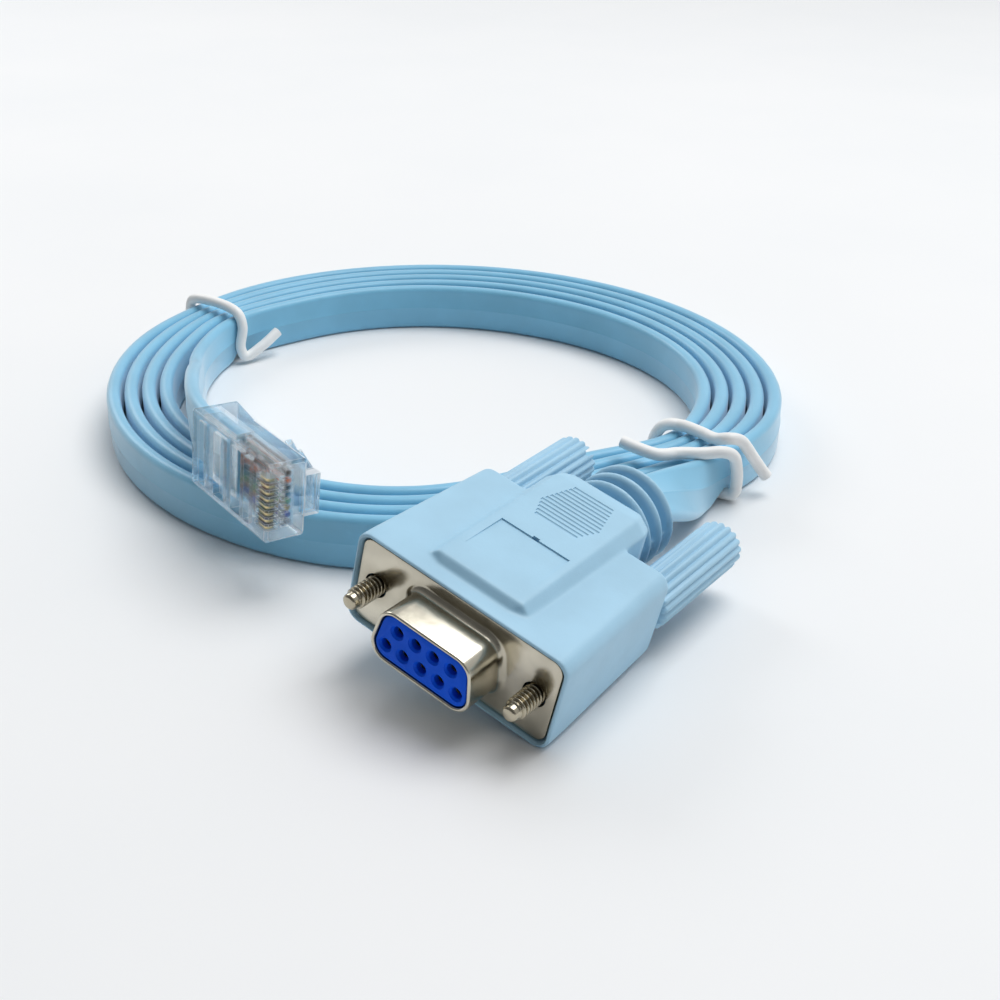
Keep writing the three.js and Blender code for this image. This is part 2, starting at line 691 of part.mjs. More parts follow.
function plugWires() {
  const from = entryLength + running;
  const to = plugLength - wireSetback;
  return wireColours.map((colour, i) => {
    const strand = new THREE.CylinderGeometry(wireRadius, wireRadius, to - from, 10);
    strand.rotateX(Math.PI / 2);
    strand.translate(bladeX(i), contactFace - wireDepth, (to + from) / 2);
    return mesh(`plug_conductor_${i + 1}`, strand, finish(colour, 0.5));
  });
}

// Latch lever: broad at its root, with a narrow tongue that stands off behind
function plugLatch() {
  const rise = entryDepth - latchRise;
  const sideways = (low, high) => new THREE.Shape([
    [latchRoot, latchFace - 0.6], [latchRoot, latchFace - latchRootHeight], [low, high - latchThickness * 0.2],
    [low, high + latchThickness * 0.8],
  ].map(([z, y]) => new THREE.Vector2(z, y)));
  const lever = (half, low, high) => {
    const slab = new THREE.ExtrudeGeometry(sideways(low, high), { depth: 2 * half, bevelEnabled: false });
    const toPlug = new THREE.Matrix4().makeBasis(
      new THREE.Vector3(0, 0, 1), new THREE.Vector3(0, 1, 0), new THREE.Vector3(-1, 0, 0));
    return toSolid(slab.applyMatrix4(toPlug).translate(half, 0, 0));
  };
  const shoulderZ = plugLength - latchBroad;
  const shoulderY = THREE.MathUtils.lerp(latchFace - 1.45, rise, (latchRoot - shoulderZ) / (latchRoot - latchTip));
  const solid = lever(latchWidth / 2, latchTip, rise).add(lever(latchShoulder / 2, shoulderZ, shoulderY));
  return mesh('plug_latch', toGeometry(solid), clearPlastic);
}

function modularPlug() {
  const group = new THREE.Group();
  group.add(plugBody(), plugLatch(), ...plugBlades(), ...plugWires());
  group.applyMatrix4(plugBasis.matrix);
  return group;
}

// Loose stretches of the cable

const upright = new THREE.Vector3(0, 0, 1);

// From the strain relief to the coil: flat at first, then turned on its edge
function lead(height) {
  const start = reliefBack + running - connectorMiddle;
  const end = onCoil(0);
  const wideAt = (turn) => new THREE.Vector3(
    Math.cos(radians(turn)), 0, -Math.sin(radians(turn)));
  const chosen = [
    [0, start, height, connectorRoll], [0, start + 3, height, connectorRoll + 3],
    [0, start + 8.5, height - 1.8, connectorRoll + 20], [-0.1, start + 14.3, height - 3.6, connectorRoll + 42],
    [-0.85, end.y - 4, cableWidth / 2 + 0.3, 82], [end.x - 0.07, end.y - running, end.z, 90],
  ].map(([x, y, z, turn]) => ({ at: new THREE.Vector3(x, y, z), wide: wideAt(turn) }));
  return mesh('cable_lead', flatCable(eased(smoothRoute(chosen, 20), 6)), cableJacket);
}

// From the innermost turn, up over the turns and into the plug
function tail() {
  const inPlug = (z) => plugRear.clone().addScaledVector(plugBasis.nose, z);
  const start = wholeTurns + lastAngle / 360;
  const first = onCoil(start);
  const ahead = onCoil(start + 0.004).sub(first).setLength(running);
  const chosen = [
    ...[first.clone().add(ahead), first.clone().addScaledVector(ahead, 6),
      new THREE.Vector3(-98.3, 31.4, 4.45), new THREE.Vector3(-95.1, 26.5, 4.7),
      new THREE.Vector3(-90.4, 22.2, 5.6), new THREE.Vector3(-85.2, 18.1, 7.8), new THREE.Vector3(-79.8, 13, 10.7),
      new THREE.Vector3(-74, 7.7, 13.4), new THREE.Vector3(-68, 2.1, 14.8), new THREE.Vector3(-61.8, -2.9, 15.6)]
      .map((at) => ({ at, wide: upright })),
    { at: inPlug(-3), wide: plugBasis.up }, { at: inPlug(1), wide: plugBasis.up },
    { at: inPlug(entryLength), wide: plugBasis.up },
  ];
  return mesh('cable_tail', flatCable(eased(smoothRoute(chosen, 36), 4)), cableJacket);
}

const plugged = connector();
const ties = [rightTie(), leftTie()];
const group = new THREE.Group();
group.add(plugged, coil(ties), lead(plugged.position.z), tail(), ...ties.map((t) => t.mesh), modularPlug());

export default group;
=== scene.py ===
"""Looks of the flat console cable: the moulded D connector with its thumbscrews, the flat
cable wound on edge under two wire ties, and the clear modular plug on its far end."""
import math

import bmesh
import bpy
import numpy as np
from mathutils import Matrix, Vector

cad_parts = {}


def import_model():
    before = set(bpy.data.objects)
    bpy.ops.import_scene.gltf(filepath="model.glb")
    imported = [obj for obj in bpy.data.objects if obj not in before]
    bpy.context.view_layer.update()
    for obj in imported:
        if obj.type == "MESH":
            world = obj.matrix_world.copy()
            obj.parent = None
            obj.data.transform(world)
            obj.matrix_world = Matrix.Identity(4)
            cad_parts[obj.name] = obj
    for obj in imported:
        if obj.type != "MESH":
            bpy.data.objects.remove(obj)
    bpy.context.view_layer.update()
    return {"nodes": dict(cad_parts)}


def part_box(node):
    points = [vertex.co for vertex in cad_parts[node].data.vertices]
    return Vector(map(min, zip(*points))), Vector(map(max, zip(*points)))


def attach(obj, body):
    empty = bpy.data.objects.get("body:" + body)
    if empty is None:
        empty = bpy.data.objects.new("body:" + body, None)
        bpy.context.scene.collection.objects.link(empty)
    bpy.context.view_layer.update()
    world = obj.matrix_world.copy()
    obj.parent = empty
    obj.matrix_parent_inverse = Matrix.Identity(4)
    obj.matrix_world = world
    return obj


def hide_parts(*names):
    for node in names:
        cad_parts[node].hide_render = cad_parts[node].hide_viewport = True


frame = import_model()

MM = 0.001
BODY = "cable"

# Nine-way D connector, in millimetres. Its own frame: x to the right as it is looked at,
# y backwards from the flange's front, z up
CONTACT_PITCH = 2.76
ROW_PITCH = 2.84
SCREW_SPACING = 24.99
FLANGE = (30.81, 12.5, 1.6)          # width, height, corner radius
FLANGE_THICKNESS = 0.8
SHELL_WIDTH = 16.33
SHELL_HEIGHT = 7.9
SHELL_CORNER = 2.5
SHELL_SLOPE = 10.0                   # degrees
SHELL_REACH = 6.05
SHELL_WALL = 0.5
SHELL_FILLET = 1.0
FACE_SETBACK = 0.2
SEAT = 0.2

# Hood
RIM_WALL = 0.6
RIM_REACH = 0.4
HOOD_BACK = 23.8
HOOD_CORNER = 2.0
WING_TAPER = 0.9
PANEL_HALF_WIDTH = 6.4
MIDDLE_HALF_WIDTH = 8.1
MIDDLE_HALF_HEIGHT = 8.2
MIDDLE_FRONT = 1.7
MIDDLE_BACK = 31.5
RELIEF_RADIUS = 7.2
RELIEF_RIB = 1.5
RELIEF_GAP = 1.35
RELIEF_RIBS = 3
RELIEF_CORE = (5.3, 2.4, 1.2)        # half width, half height, corner radius
RELIEF_WEB = (6.3, 0.75)             # half width, half height
RELIEF_BACK = MIDDLE_BACK + RELIEF_RIBS * (RELIEF_RIB + RELIEF_GAP) + 0.35
SCREW_BORE = 1.8
GRIP_RIDGES = 12
GRIP_START = 18.7
GRIP_PITCH = 0.775
GRIP_HALF_LENGTH = 4.6
GRIP_GROOVE = 0.3                    # radius of its round cutter
GRIP_CLEAR = 0.13                    # how far that cutter's middle lies above the panel
LABEL_START = 6.8
LABEL_END = 14.3
LABEL_DEPTH = 0.24
LABEL_HALF_WIDTH = 5.35
SKIN = 0.25                          # size of the faces that the moulding is smoothed from

# Thumbscrews
SCREW_RADIUS = 1.42
SCREW_ROOT = 1.06
SCREW_PITCH = 0.635
SCREW_REACH = 5.1
KNOB_RADIUS = 3.55
KNOB_LENGTH = 20.0
KNOB_FRONT = HOOD_BACK + 0.3
KNOB_SLOT = (0.55, 1.4)              # half width and depth
KNOB_SLOT_ANGLES = {"left": -50, "right": 15}
FLUTES = 18
FLUTE_DEPTH = 0.4
THREAD_STEP = 0.053                  # between the rings of the thread
PILOT_LENGTH = 0.9

# Flat cable and its coil
CABLE_WIDTH = 8.6
CABLE_THICKNESS = 2.3
CABLE_CORNER = 1.05
CABLE_SEAM = ((-0.26, 0.0), (-0.13, 0.07), (0.0, 0.1), (0.13, 0.07), (0.26, 0.0))
COIL_CENTRE = (-55.1, 46.05)
COIL_HALF_X = 59.3
COIL_HALF_Y = 55.0
INNER_APART = 0.7                    # how far the innermost turn leaves the others behind
FLAT_DEPTH = 7.8
FLAT_ANGLE = 339
FLAT_SPREAD = 30
TURN_PITCH = 2.95
TIE_PINCH = 0.6
TIE_DRAW = 0.8
TIE_ANGLES = (3, 184)
TIE_SPREAD = 11
WHOLE_TURNS = 4
LAST_ANGLE = 192
STEPS_A_TURN = 240
ROUTE_STEP = 1.3
TIE_RADIUS = 0.95
TIE_DENT = 2.15                      # how far the turns stand clear of a tie under them
TIE_DENT_SPREAD = 1.9
TIE_HUG = 0.12

# Modular plug. Its own frame: x across, up as it lies, y out of the contact face, z to the nose
PLUG_WIDTH = 11.68
PLUG_LENGTH = 21.5
PLUG_REAR = (-54.4, -6.55, 15.8)
PLUG_HEADING = -15.4
PLUG_LEAN = 6.1
PLUG_DROOP = 1.7
CONTACT_FACE = 3.3
LATCH_FACE = -2.9
REAR_FACE = -4.0
REAR_LENGTH = 7.2
PLUG_PITCH = 1.02
WIRES = 8
WIRE_Y = CONTACT_FACE - 3.95
ENTRY_LENGTH = 9.3
ENTRY_HALF = (4.5, 1.35)             # half width and half height of the jacket's entry
PLUG_CORNER = 0.45
WINDOWS = ((2.2, 3.9, 0.8), (6.5, 9.5, 1.1), (11.5, 14.2, 1.6), (15.1, 16.8, 1.2))   # from, to, depth
WINDOW_RIM = 1.0
BLADE = (18.8, 21.05, 1.7, 3.0)      # from, to, lowest, highest
BLADE_HALF = 0.25
BLADE_ROOM = 0.06
WIRE_RADIUS = 0.45
LATCH_FRONT = 19.4
LATCH_TIP = 6.9
LATCH_HALF = 1.62
LATCH_ROOT_HALF = 3.1
LATCH_ROOT_HEIGHT = 2.3


# Frames

def connector_place():
    """Matrix from the connector's own millimetres to the frame's metres."""
    left = sum(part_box("jackscrew_left"), Vector()) / 2
    right = sum(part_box("jackscrew_right"), Vector()) / 2
    across = right - left
    roll = math.atan2(-across.z, across.x)
    middle = (left + right) / 2
    middle.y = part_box("connector_shell")[1].y - FLANGE_THICKNESS * MM
    return Matrix.Translation(middle) @ Matrix.Rotation(roll, 4, "Y") @ Matrix.Scale(MM, 4), roll


def plug_axes():
    """The plug's x, y and z directions, worked out from how it lies."""
    turn = Matrix.Rotation(math.radians(PLUG_HEADING), 3, "Z")
    droop = math.radians(PLUG_DROOP)
    nose = turn @ Vector((math.cos(droop), 0, -math.sin(droop)))
    level = turn @ Vector((0, -1, 0))
    out = Matrix.Rotation(-math.radians(PLUG_LEAN), 3, nose) @ level
    return out.cross(nose).normalized(), out.normalized(), nose.normalized()


PLUG_UP, PLUG_OUT, PLUG_NOSE = plug_axes()


def plug_place():
    """Matrix from the plug's own millimetres to the frame's metres."""
    turned = Matrix((PLUG_UP, PLUG_OUT, PLUG_NOSE)).transposed().to_4x4()
    return Matrix.Translation(Vector(PLUG_REAR) * MM) @ turned @ Matrix.Scale(MM, 4)


FRAME_PLACE = Matrix.Scale(MM, 4)


# Camera

def make_camera():
    data = bpy.data.cameras.new("camera")
    data.sensor_width = 36
    data.lens = 51.88
    data.clip_start = 0.01
    data.clip_end = 20
    camera = bpy.data.objects.new("camera", data)
    camera.location = Vector((91.83, -131.51, 107.57)) * MM
    looking = Vector((-0.5292, 0.7031, -0.4751))
    camera.rotation_euler = looking.to_track_quat("-Z", "Y").to_euler()
    bpy.context.scene.collection.objects.link(camera)
    bpy.context.scene.camera = camera


# Outlines

def unit(vector):
    return vector / np.linalg.norm(vector)


def rounded_outline(corners, radius, steps):
    """A closed outline, its corners turned into arcs of steps + 1 points each."""
    corners = [np.array(c, float) for c in corners]
    points = []
    for i, corner in enumerate(corners):
        before = unit(corners[i - 1] - corner)
        after = unit(corners[(i + 1) % len(corners)] - corner)
        half = math.acos(np.clip(before @ after, -1, 1)) / 2
        centre = corner + unit(before + after) * radius / math.sin(half)
        start = corner + before * radius / math.tan(half) - centre
        for k in range(steps + 1):
            angle = (math.pi - 2 * half) * k / steps
            turn = np.array([[math.cos(angle), -math.sin(angle)], [math.sin(angle), math.cos(angle)]])
            points.append(centre + turn @ start)
    return points


def rectangle(half_width, half_height, radius, steps=4):
    corners = [(-half_width, -half_height), (half_width, -half_height),
               (half_width, half_height), (-half_width, half_height)]
    return rounded_outline(corners, radius, steps)


def d_outline(inset, steps=8):
    """The connector's D, wide side down. A negative inset lies outside it."""
    slope = math.tan(math.radians(SHELL_SLOPE))
    half_height = SHELL_HEIGHT / 2 - inset
    middle = SHELL_WIDTH / 2 - SHELL_HEIGHT / 2 * slope - inset / math.cos(math.radians(SHELL_SLOPE))
    wide = middle + half_height * slope
    narrow = middle - half_height * slope
    corners = [(-wide, -half_height), (wide, -half_height), (narrow, half_height), (-narrow, half_height)]
    return rounded_outline(corners, SHELL_CORNER - inset, steps)


def upright(outline, y):
    """An outline of (x, z) stood across the connector at y."""
    return [(x, y, z) for x, z in outline]


# Meshes

def new_object(name, mesh):
    made = bpy.data.objects.new(name, mesh)
    bpy.context.scene.collection.objects.link(made)
    return made


def solid(name, rings, closed=False):
    """A closed shell through rings of equal count, capped at its ends unless it closes on itself."""
    count = len(rings[0])
    vertices = [tuple(point) for ring in rings for point in ring]
    faces = []
    for i in range(len(rings) if closed else len(rings) - 1):
        this = i * count
        following = (i + 1) % len(rings) * count
        for j in range(count):
            k = (j + 1) % count
            faces.append((this + j, this + k, following + k, following + j))
    if not closed:
        faces.append(tuple(range(count)))
        faces.append(tuple(len(vertices) - count + j for j in reversed(range(count))))
    mesh = bpy.data.meshes.new(name)
    mesh.from_pydata(vertices, [], faces)
    shell = bmesh.new()
    shell.from_mesh(mesh)
    bmesh.ops.remove_doubles(shell, verts=shell.verts, dist=1e-5)
    bmesh.ops.recalc_face_normals(shell, faces=shell.faces)
    shell.to_mesh(mesh)
    shell.free()
    return new_object(name, mesh)


def turned(name, profile, segments):
    """A body turned about y from (radius, y) pairs."""
    rings = []
    for radius, y in profile:
        angles = [2 * math.pi * k / segments for k in range(segments)]
        rings.append([(max(radius, 1e-4) * math.cos(a), y, max(radius, 1e-4) * math.sin(a)) for a in angles])
    return solid(name, rings)


def block(name, low, high):
    x0, y0, z0 = low
    x1, y1, z1 = high
    return solid(name, [[(x0, y0, z), (x1, y0, z), (x1, y1, z), (x0, y1, z)] for z in (z0, z1)])


def moved(piece, x=0.0, y=0.0, z=0.0):
    piece.data.transform(Matrix.Translation((x, y, z)))
    return piece


def spun(piece, angle, axis):
    piece.data.transform(Matrix.Rotation(angle, 4, axis))
    return piece


def applied(piece):
    """The piece with its modifiers turned into plain mesh."""
    bpy.context.view_layer.update()
    depsgraph = bpy.context.evaluated_depsgraph_get()
    made = bpy.data.meshes.new_from_object(piece.evaluated_get(depsgraph), depsgraph=depsgraph)
    piece.modifiers.clear()
    old = piece.data
    piece.data = made
    bpy.data.meshes.remove(old)
    return piece


def removed(*pieces):
    for piece in pieces:
        mesh = piece.data
        bpy.data.objects.remove(piece)
        bpy.data.meshes.remove(mesh)


def joined(name, pieces):
    """Several meshes as one object, their faces left as they are."""
    whole = bmesh.new()
    for piece in pieces:
        whole.from_mesh(piece.data)
    mesh = bpy.data.meshes.new(name)
    whole.to_mesh(mesh)
    whole.free()
    removed(*pieces)
    return new_object(name, mesh)


def combine(piece, others, operation):
    for other in others:
        change = piece.modifiers.new(operation, "BOOLEAN")
        change.object = other
        change.operation = operation
        change.solver = "MANIFOLD"
    applied(piece)
    removed(*others)
    return piece


def cut(piece, *cutters):
    return combine(piece, cutters, "DIFFERENCE")


def fused(piece, *others):
    return combine(piece, others, "UNION")


def bevelled(piece, width):
    """Rounded edges, their faces marked in the attribute edge, the mask of the clear plastic's painted edge
    highlight.
    """
    edge = piece.modifiers.new("edge", "BEVEL")
    edge.width = width
    edge.segments = 2
    edge.limit_method = "ANGLE"
    edge.angle_limit = math.radians(30)
    applied(piece)
    mesh = piece.data
    corners = [vertex.co for vertex in mesh.vertices]
    lengths = [(corners[edge.vertices[0]] - corners[edge.vertices[1]]).length for edge in mesh.edges]
    narrow = []
    for face in mesh.polygons:
        shortest = min(lengths[mesh.loops[k].edge_index] for k in face.loop_indices)
        narrow.append(float(shortest < width))
    mesh.attributes.new("edge", "FLOAT", "FACE").data.foreach_set("value", narrow)
    return piece


def finished(piece, place, material, slot, body, *nodes, sharp=40):
    """A piece taken to its place in metres, shaded, put under its body, in place of its nodes; its slot is
    not used.
    """
    piece.data.transform(place)
    piece.data.materials.clear()
    piece.data.materials.append(material)
    piece.data.polygons.foreach_set("material_index", [0] * len(piece.data.polygons))
    piece.data.shade_smooth()
    piece.data.set_sharp_from_angle(angle=math.radians(sharp))
    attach(piece, body)
    if nodes:
        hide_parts(*nodes)
    return piece


# Geometry Nodes trees

class Tree:
    """A Geometry Nodes tree with named inputs, ending in Realize Instances and Set Material."""

    def __init__(self, name):
        self.group = bpy.data.node_groups.new(name, "GeometryNodeTree")
        self.group.interface.new_socket("Geometry", in_out="OUTPUT", socket_type="NodeSocketGeometry")
        self.socket("Geometry", "NodeSocketGeometry")
        self.inputs = self.group.nodes.new("NodeGroupInput")
        self.outputs = self.group.nodes.new("NodeGroupOutput")

    def socket(self, name, kind):
        return self.group.interface.new_socket(name, in_out="INPUT", socket_type=kind)

    def node(self, kind, **settings):
        made = self.group.nodes.new(kind)
        for name, value in settings.items():
            setattr(made, name, value)
        return made

    def link(self, source, target):
        self.group.links.new(source, target)

    def end(self, geometry):
        real = self.node("GeometryNodeRealizeInstances")
        finish = self.node("GeometryNodeSetMaterial")
        self.link(geometry, real.inputs["Geometry"])
        self.link(real.outputs[0], finish.inputs["Geometry"])
        self.link(self.inputs.outputs["Material"], finish.inputs["Material"])
        self.link(finish.outputs[0], self.outputs.inputs["Geometry"])

    def apply(self, piece, **values):
        """Runs the tree on a piece with these inputs and keeps the result as plain mesh."""
        change = piece.modifiers.new(self.group.name, "NODES")
        change.node_group = self.group
        for item in self.group.interface.items_tree:
            key = item.name.lower().replace(" ", "_")
            if item.in_out == "INPUT" and key in values:
                change[item.identifier] = values[key]
        return applied(piece)


def row_tree():
    """Copies of a piece in a straight row, evenly spaced."""
    tree = Tree("row of copies")
    tree.socket("Count", "NodeSocketInt")
    tree.socket("Start", "NodeSocketVector")
    tree.socket("Step", "NodeSocketVector")
    tree.socket("Material", "NodeSocketMaterial")
    line = tree.node("GeometryNodeMeshLine", mode="OFFSET")
    copies = tree.node("GeometryNodeInstanceOnPoints")
    tree.link(tree.inputs.outputs["Count"], line.inputs["Count"])
    tree.link(tree.inputs.outputs["Start"], line.inputs["Start Location"])
    tree.link(tree.inputs.outputs["Step"], line.inputs["Offset"])
    tree.link(line.outputs["Mesh"], copies.inputs["Points"])
    tree.link(tree.inputs.outputs["Geometry"], copies.inputs["Instance"])
    tree.end(copies.outputs["Instances"])
    return tree


def grip_tree():
    """Bars in a row whose lengths grow to a middle place and shrink again."""
    tree = Tree("grip ridges")
    tree.socket("Count", "NodeSocketInt")
    tree.socket("Start", "NodeSocketVector")
    tree.socket("Step", "NodeSocketVector")
    for name in ("Widest", "Front Scale", "Back Scale"):
        tree.socket(name, "NodeSocketFloat")
    tree.socket("Material", "NodeSocketMaterial")
    line = tree.node("GeometryNodeMeshLine", mode="OFFSET")
    copies = tree.node("GeometryNodeInstanceOnPoints")
    index = tree.node("GeometryNodeInputIndex")
    rise = tree.node("ShaderNodeMapRange")
    fall = tree.node("ShaderNodeMapRange")
    least = tree.node("ShaderNodeMath", operation="MINIMUM")
    scale = tree.node("ShaderNodeCombineXYZ")
    given = tree.inputs.outputs
    tree.link(given["Count"], line.inputs["Count"])
    tree.link(given["Start"], line.inputs["Start Location"])
    tree.link(given["Step"], line.inputs["Offset"])
    tree.link(index.outputs[0], rise.inputs["Value"])
    tree.link(given["Widest"], rise.inputs["From Max"])
    tree.link(given["Front Scale"], rise.inputs["To Min"])
    tree.link(index.outputs[0], fall.inputs["Value"])
    tree.link(given["Widest"], fall.inputs["From Min"])
    tree.link(given["Count"], fall.inputs["From Max"])
    fall.inputs["To Min"].default_value = 1
    tree.link(given["Back Scale"], fall.inputs["To Max"])
    tree.link(rise.outputs[0], least.inputs[0])
    tree.link(fall.outputs[0], least.inputs[1])
    tree.link(least.outputs[0], scale.inputs["X"])
    scale.inputs["Y"].default_value = 1
    scale.inputs["Z"].default_value = 1
    tree.link(line.outputs["Mesh"], copies.inputs["Points"])
    tree.link(given["Geometry"], copies.inputs["Instance"])
    tree.link(scale.outputs[0], copies.inputs["Scale"])
    tree.end(copies.outputs["Instances"])
    return tree


def wire_tree():
    """A round wire along the piece's line of edges."""
    tree = Tree("round wire")
    tree.socket("Radius", "NodeSocketFloat")
    tree.socket("Sides", "NodeSocketInt")
    tree.socket("Material", "NodeSocketMaterial")
    curve = tree.node("GeometryNodeMeshToCurve")
    profile = tree.node("GeometryNodeCurvePrimitiveCircle")
    tube = tree.node("GeometryNodeCurveToMesh")
    tube.inputs["Fill Caps"].default_value = True
    tree.link(tree.inputs.outputs["Geometry"], curve.inputs["Mesh"])
    tree.link(tree.inputs.outputs["Radius"], profile.inputs["Radius"])
    tree.link(tree.inputs.outputs["Sides"], profile.inputs["Resolution"])
    tree.link(curve.outputs["Curve"], tube.inputs["Curve"])
    tree.link(profile.outputs["Curve"], tube.inputs["Profile Curve"])
    tree.end(tube.outputs["Mesh"])
    return tree


ROW = row_tree()
GRIP = grip_tree()
WIRE = wire_tree()


def line_object(name, points):
    """A piece that is only a line of edges through the points."""
    mesh = bpy.data.meshes.new(name)
    mesh.from_pydata([tuple(p) for p in points], [(i, i + 1) for i in range(len(points) - 1)], [])
    return new_object(name, mesh)


# Routes

def smooth_line(points, steps):
    """A smooth line through the points, the same as the solids follow."""
    points = [np.array(p, float) for p in points]
    spans = len(points) - 1
    first = 2 * points[0] - points[1]
    last = 2 * points[-1] - points[-2]
    line = []
    for i in range(steps + 1):
        place = spans * i / steps
        k = min(int(place), spans - 1)
        weight = place - k
        p0 = points[k - 1] if k > 0 else first
        p1 = points[k]
        p2 = points[k + 1]
        p3 = points[k + 2] if k + 2 <= spans else last
        dt0, dt1, dt2 = (max(np.linalg.norm(b - a) ** 0.5, 1e-6) for a, b in ((p0, p1), (p1, p2), (p2, p3)))
        dt1 = dt1 if dt1 > 1e-4 else 1.0
        dt0 = dt0 if dt0 > 1e-4 else dt1
        dt2 = dt2 if dt2 > 1e-4 else dt1
        t1 = ((p1 - p0) / dt0 - (p2 - p0) / (dt0 + dt1) + (p2 - p1) / dt1) * dt1
        t2 = ((p2 - p1) / dt1 - (p3 - p1) / (dt1 + dt2) + (p3 - p2) / dt2) * dt1
        c2 = -3 * p1 + 3 * p2 - 2 * t1 - t2
        c3 = 2 * p1 - 2 * p2 + t1 + t2
        line.append(p1 + t1 * weight + c2 * weight ** 2 + c3 * weight ** 3)
    return line


def bump(angle, middle, spread):
    away = (angle - middle + 180) % 360 - 180
    return math.exp(-((away / spread) ** 2))


def coil_radius(angle, turns):
    a = math.radians(angle)
    oval = 1 / math.hypot(math.cos(a) / COIL_HALF_X, math.sin(a) / COIL_HALF_Y)
    tied = sum(bump(angle, tie, TIE_SPREAD) for tie in TIE_ANGLES)
    drawn = FLAT_DEPTH * bump(angle, FLAT_ANGLE, FLAT_SPREAD) + TIE_DRAW * tied
    apart = -INNER_APART * bump(angle, 105, 40) * max(0.0, turns - 3.0)
    return oval - drawn + apart - (TURN_PITCH - TIE_PINCH * tied) * turns


def on_coil(turns, offset=0.0, z=CABLE_WIDTH / 2):
    angle = 360 * turns
    radius = coil_radius(angle, turns) + offset
    a = math.radians(angle)
    return np.array([COIL_CENTRE[0] + radius * math.cos(a), COIL_CENTRE[1] + radius * math.sin(a), z])


def in_plug(z):
    return np.array(Vector(PLUG_REAR) + PLUG_NOSE * z)


UPWARDS = np.array([0.0, 0.0, 1.0])


def evenly(line, step):
    """Rows of numbers spaced evenly along the line that their first three numbers follow."""
    line = np.array(line)
    gone = np.concatenate(([0], np.cumsum(np.linalg.norm(np.diff(line[:, :3], axis=0), axis=1))))
    places = np.linspace(0, gone[-1], round(gone[-1] / step) + 1)
    return np.stack([np.interp(places, gone, column) for column in line.T], axis=1)


def eased(line, first, last, rounds):
    """The same rows with those between two counts drawn towards their neighbours."""
    line = line.copy()
    weight = np.zeros(len(line))
    weight[first:last] = 0.5
    fade = min(20, (last - first) // 3)
    for k in range(fade):
        share = (k + 1) / (fade + 1)
        weight[first + k] *= share if first > 1 else 1
        weight[last - 1 - k] *= share if last < len(line) - 1 else 1
    weight[[0, 1, 2, -1, -2, -3]] = 0
    for _ in range(rounds):
        middle = line.copy()
        middle[1:-1] = (line[:-2] + line[2:]) / 2
        line += weight[:, None] * (middle - line)
    return line


def cable_route(roll, height):
    """Rows along the cable's middle line: place, direction of its wide side, and how turn count runs."""
    start = RELIEF_BACK - CONNECTOR_MIDDLE
    join = on_coil(0)
    lead = [(0, start - 0.5, height, roll), (0, start + 3.3, height, roll + 3),
            (0, start + 8.8, height - 1.8, roll + 20), (-0.1, start + 14.6, height - 3.6, roll + 42),
            (-0.85, join[1] - 4, 4.6, 82), (join[0] - 0.07, join[1] - 0.3, join[2], 90)]
    line = smooth_line([p[:3] for p in lead], 60)
    turn = smooth_line([(-math.cos(math.radians(p[3])), 0, math.sin(math.radians(p[3]))) for p in lead], 60)
    rows = [[*at, *wide, -1] for at, wide in zip(line, turn)]
    turns = WHOLE_TURNS + LAST_ANGLE / 360
    steps = round(turns * STEPS_A_TURN)
    rows += [[*on_coil(turns * i / steps), *UPWARDS, 360 * turns * i / steps] for i in range(steps + 1)]
    first = on_coil(turns)
    ahead = unit(on_coil(turns + 0.004) - first)
    tail = [(first + 0.3 * ahead, UPWARDS), (first + 1.8 * ahead, UPWARDS)]
    tail += [(at, UPWARDS) for at in (
        (-98.3, 31.4, 4.45), (-95.1, 26.5, 4.7), (-90.4, 22.2, 5.6), (-85.2, 18.1, 7.8), (-79.8, 13, 10.7),
        (-74, 7.7, 13.4), (-68, 2.1, 14.8), (-61.8, -2.9, 15.6))]
    tail += [(in_plug(z), np.array(PLUG_UP)) for z in (-3, 1, ENTRY_LENGTH)]
    line = smooth_line([p[0] for p in tail], 140)
    turn = smooth_line([p[1] for p in tail], 140)
    rows += [[*at, *wide, 360 * turns + 1] for at, wide in zip(line, turn)]
    route = evenly(rows, ROUTE_STEP)
    lead_rows = int(np.argmax(route[:, 6] > 0))
    tail_rows = int(np.argmax(route[:, 6] > 360 * turns))
    route = eased(route, 1, lead_rows + 12, 12)
    return eased(route, tail_rows - 16, len(route) - 1, 30)


def cable_section():
    """Points round the cable's section: across its width, across its thickness, and its faces' seams."""
    outline = rectangle(CABLE_WIDTH / 2, CABLE_THICKNESS / 2, CABLE_CORNER, 5)
    points = []
    for i, point in enumerate(outline):
        following = outline[(i + 1) % len(outline)]
        points.append(point)
        if abs(following[0] - point[0]) > 2:
            side = math.copysign(1, point[1])
            towards = math.copysign(1, following[0] - point[0])
            edge = CABLE_THICKNESS / 2
            points += [(towards * x, side * (edge + rise)) for x, rise in CABLE_SEAM]
    return points


def flat_cable(material, place_matrix, roll):
    route = cable_route(math.degrees(roll), place_matrix.translation.z / MM)
    section = cable_section()
    rings = []
    for i, row in enumerate(route):
        at, wide = row[:3], row[3:6]
        along = unit(route[min(i + 1, len(route) - 1), :3] - route[max(i - 1, 0), :3])
        across = unit(wide - wide @ along * along)
        thick = np.cross(along, across)
        on_edge = 0 <= row[6] <= 360 * WHOLE_TURNS + LAST_ANGLE
        dent = sum(bump(row[6], tie, TIE_DENT_SPREAD) for tie in TIE_ANGLES) if on_edge else 0
        foot = 1 - TIE_DENT / (CABLE_WIDTH / 2) * dent
        rings.append([at + across * (x * foot if x < 0 else x) + thick * y for x, y in section])
    cable = solid("flat_cable", rings)
    finished(cable, FRAME_PLACE, material, "cable_jacket", BODY, "cable_coil", "cable_lead", "cable_tail",
             sharp=60)
    return cable, [tuple(row[:3] * MM) for row in route]


# Materials

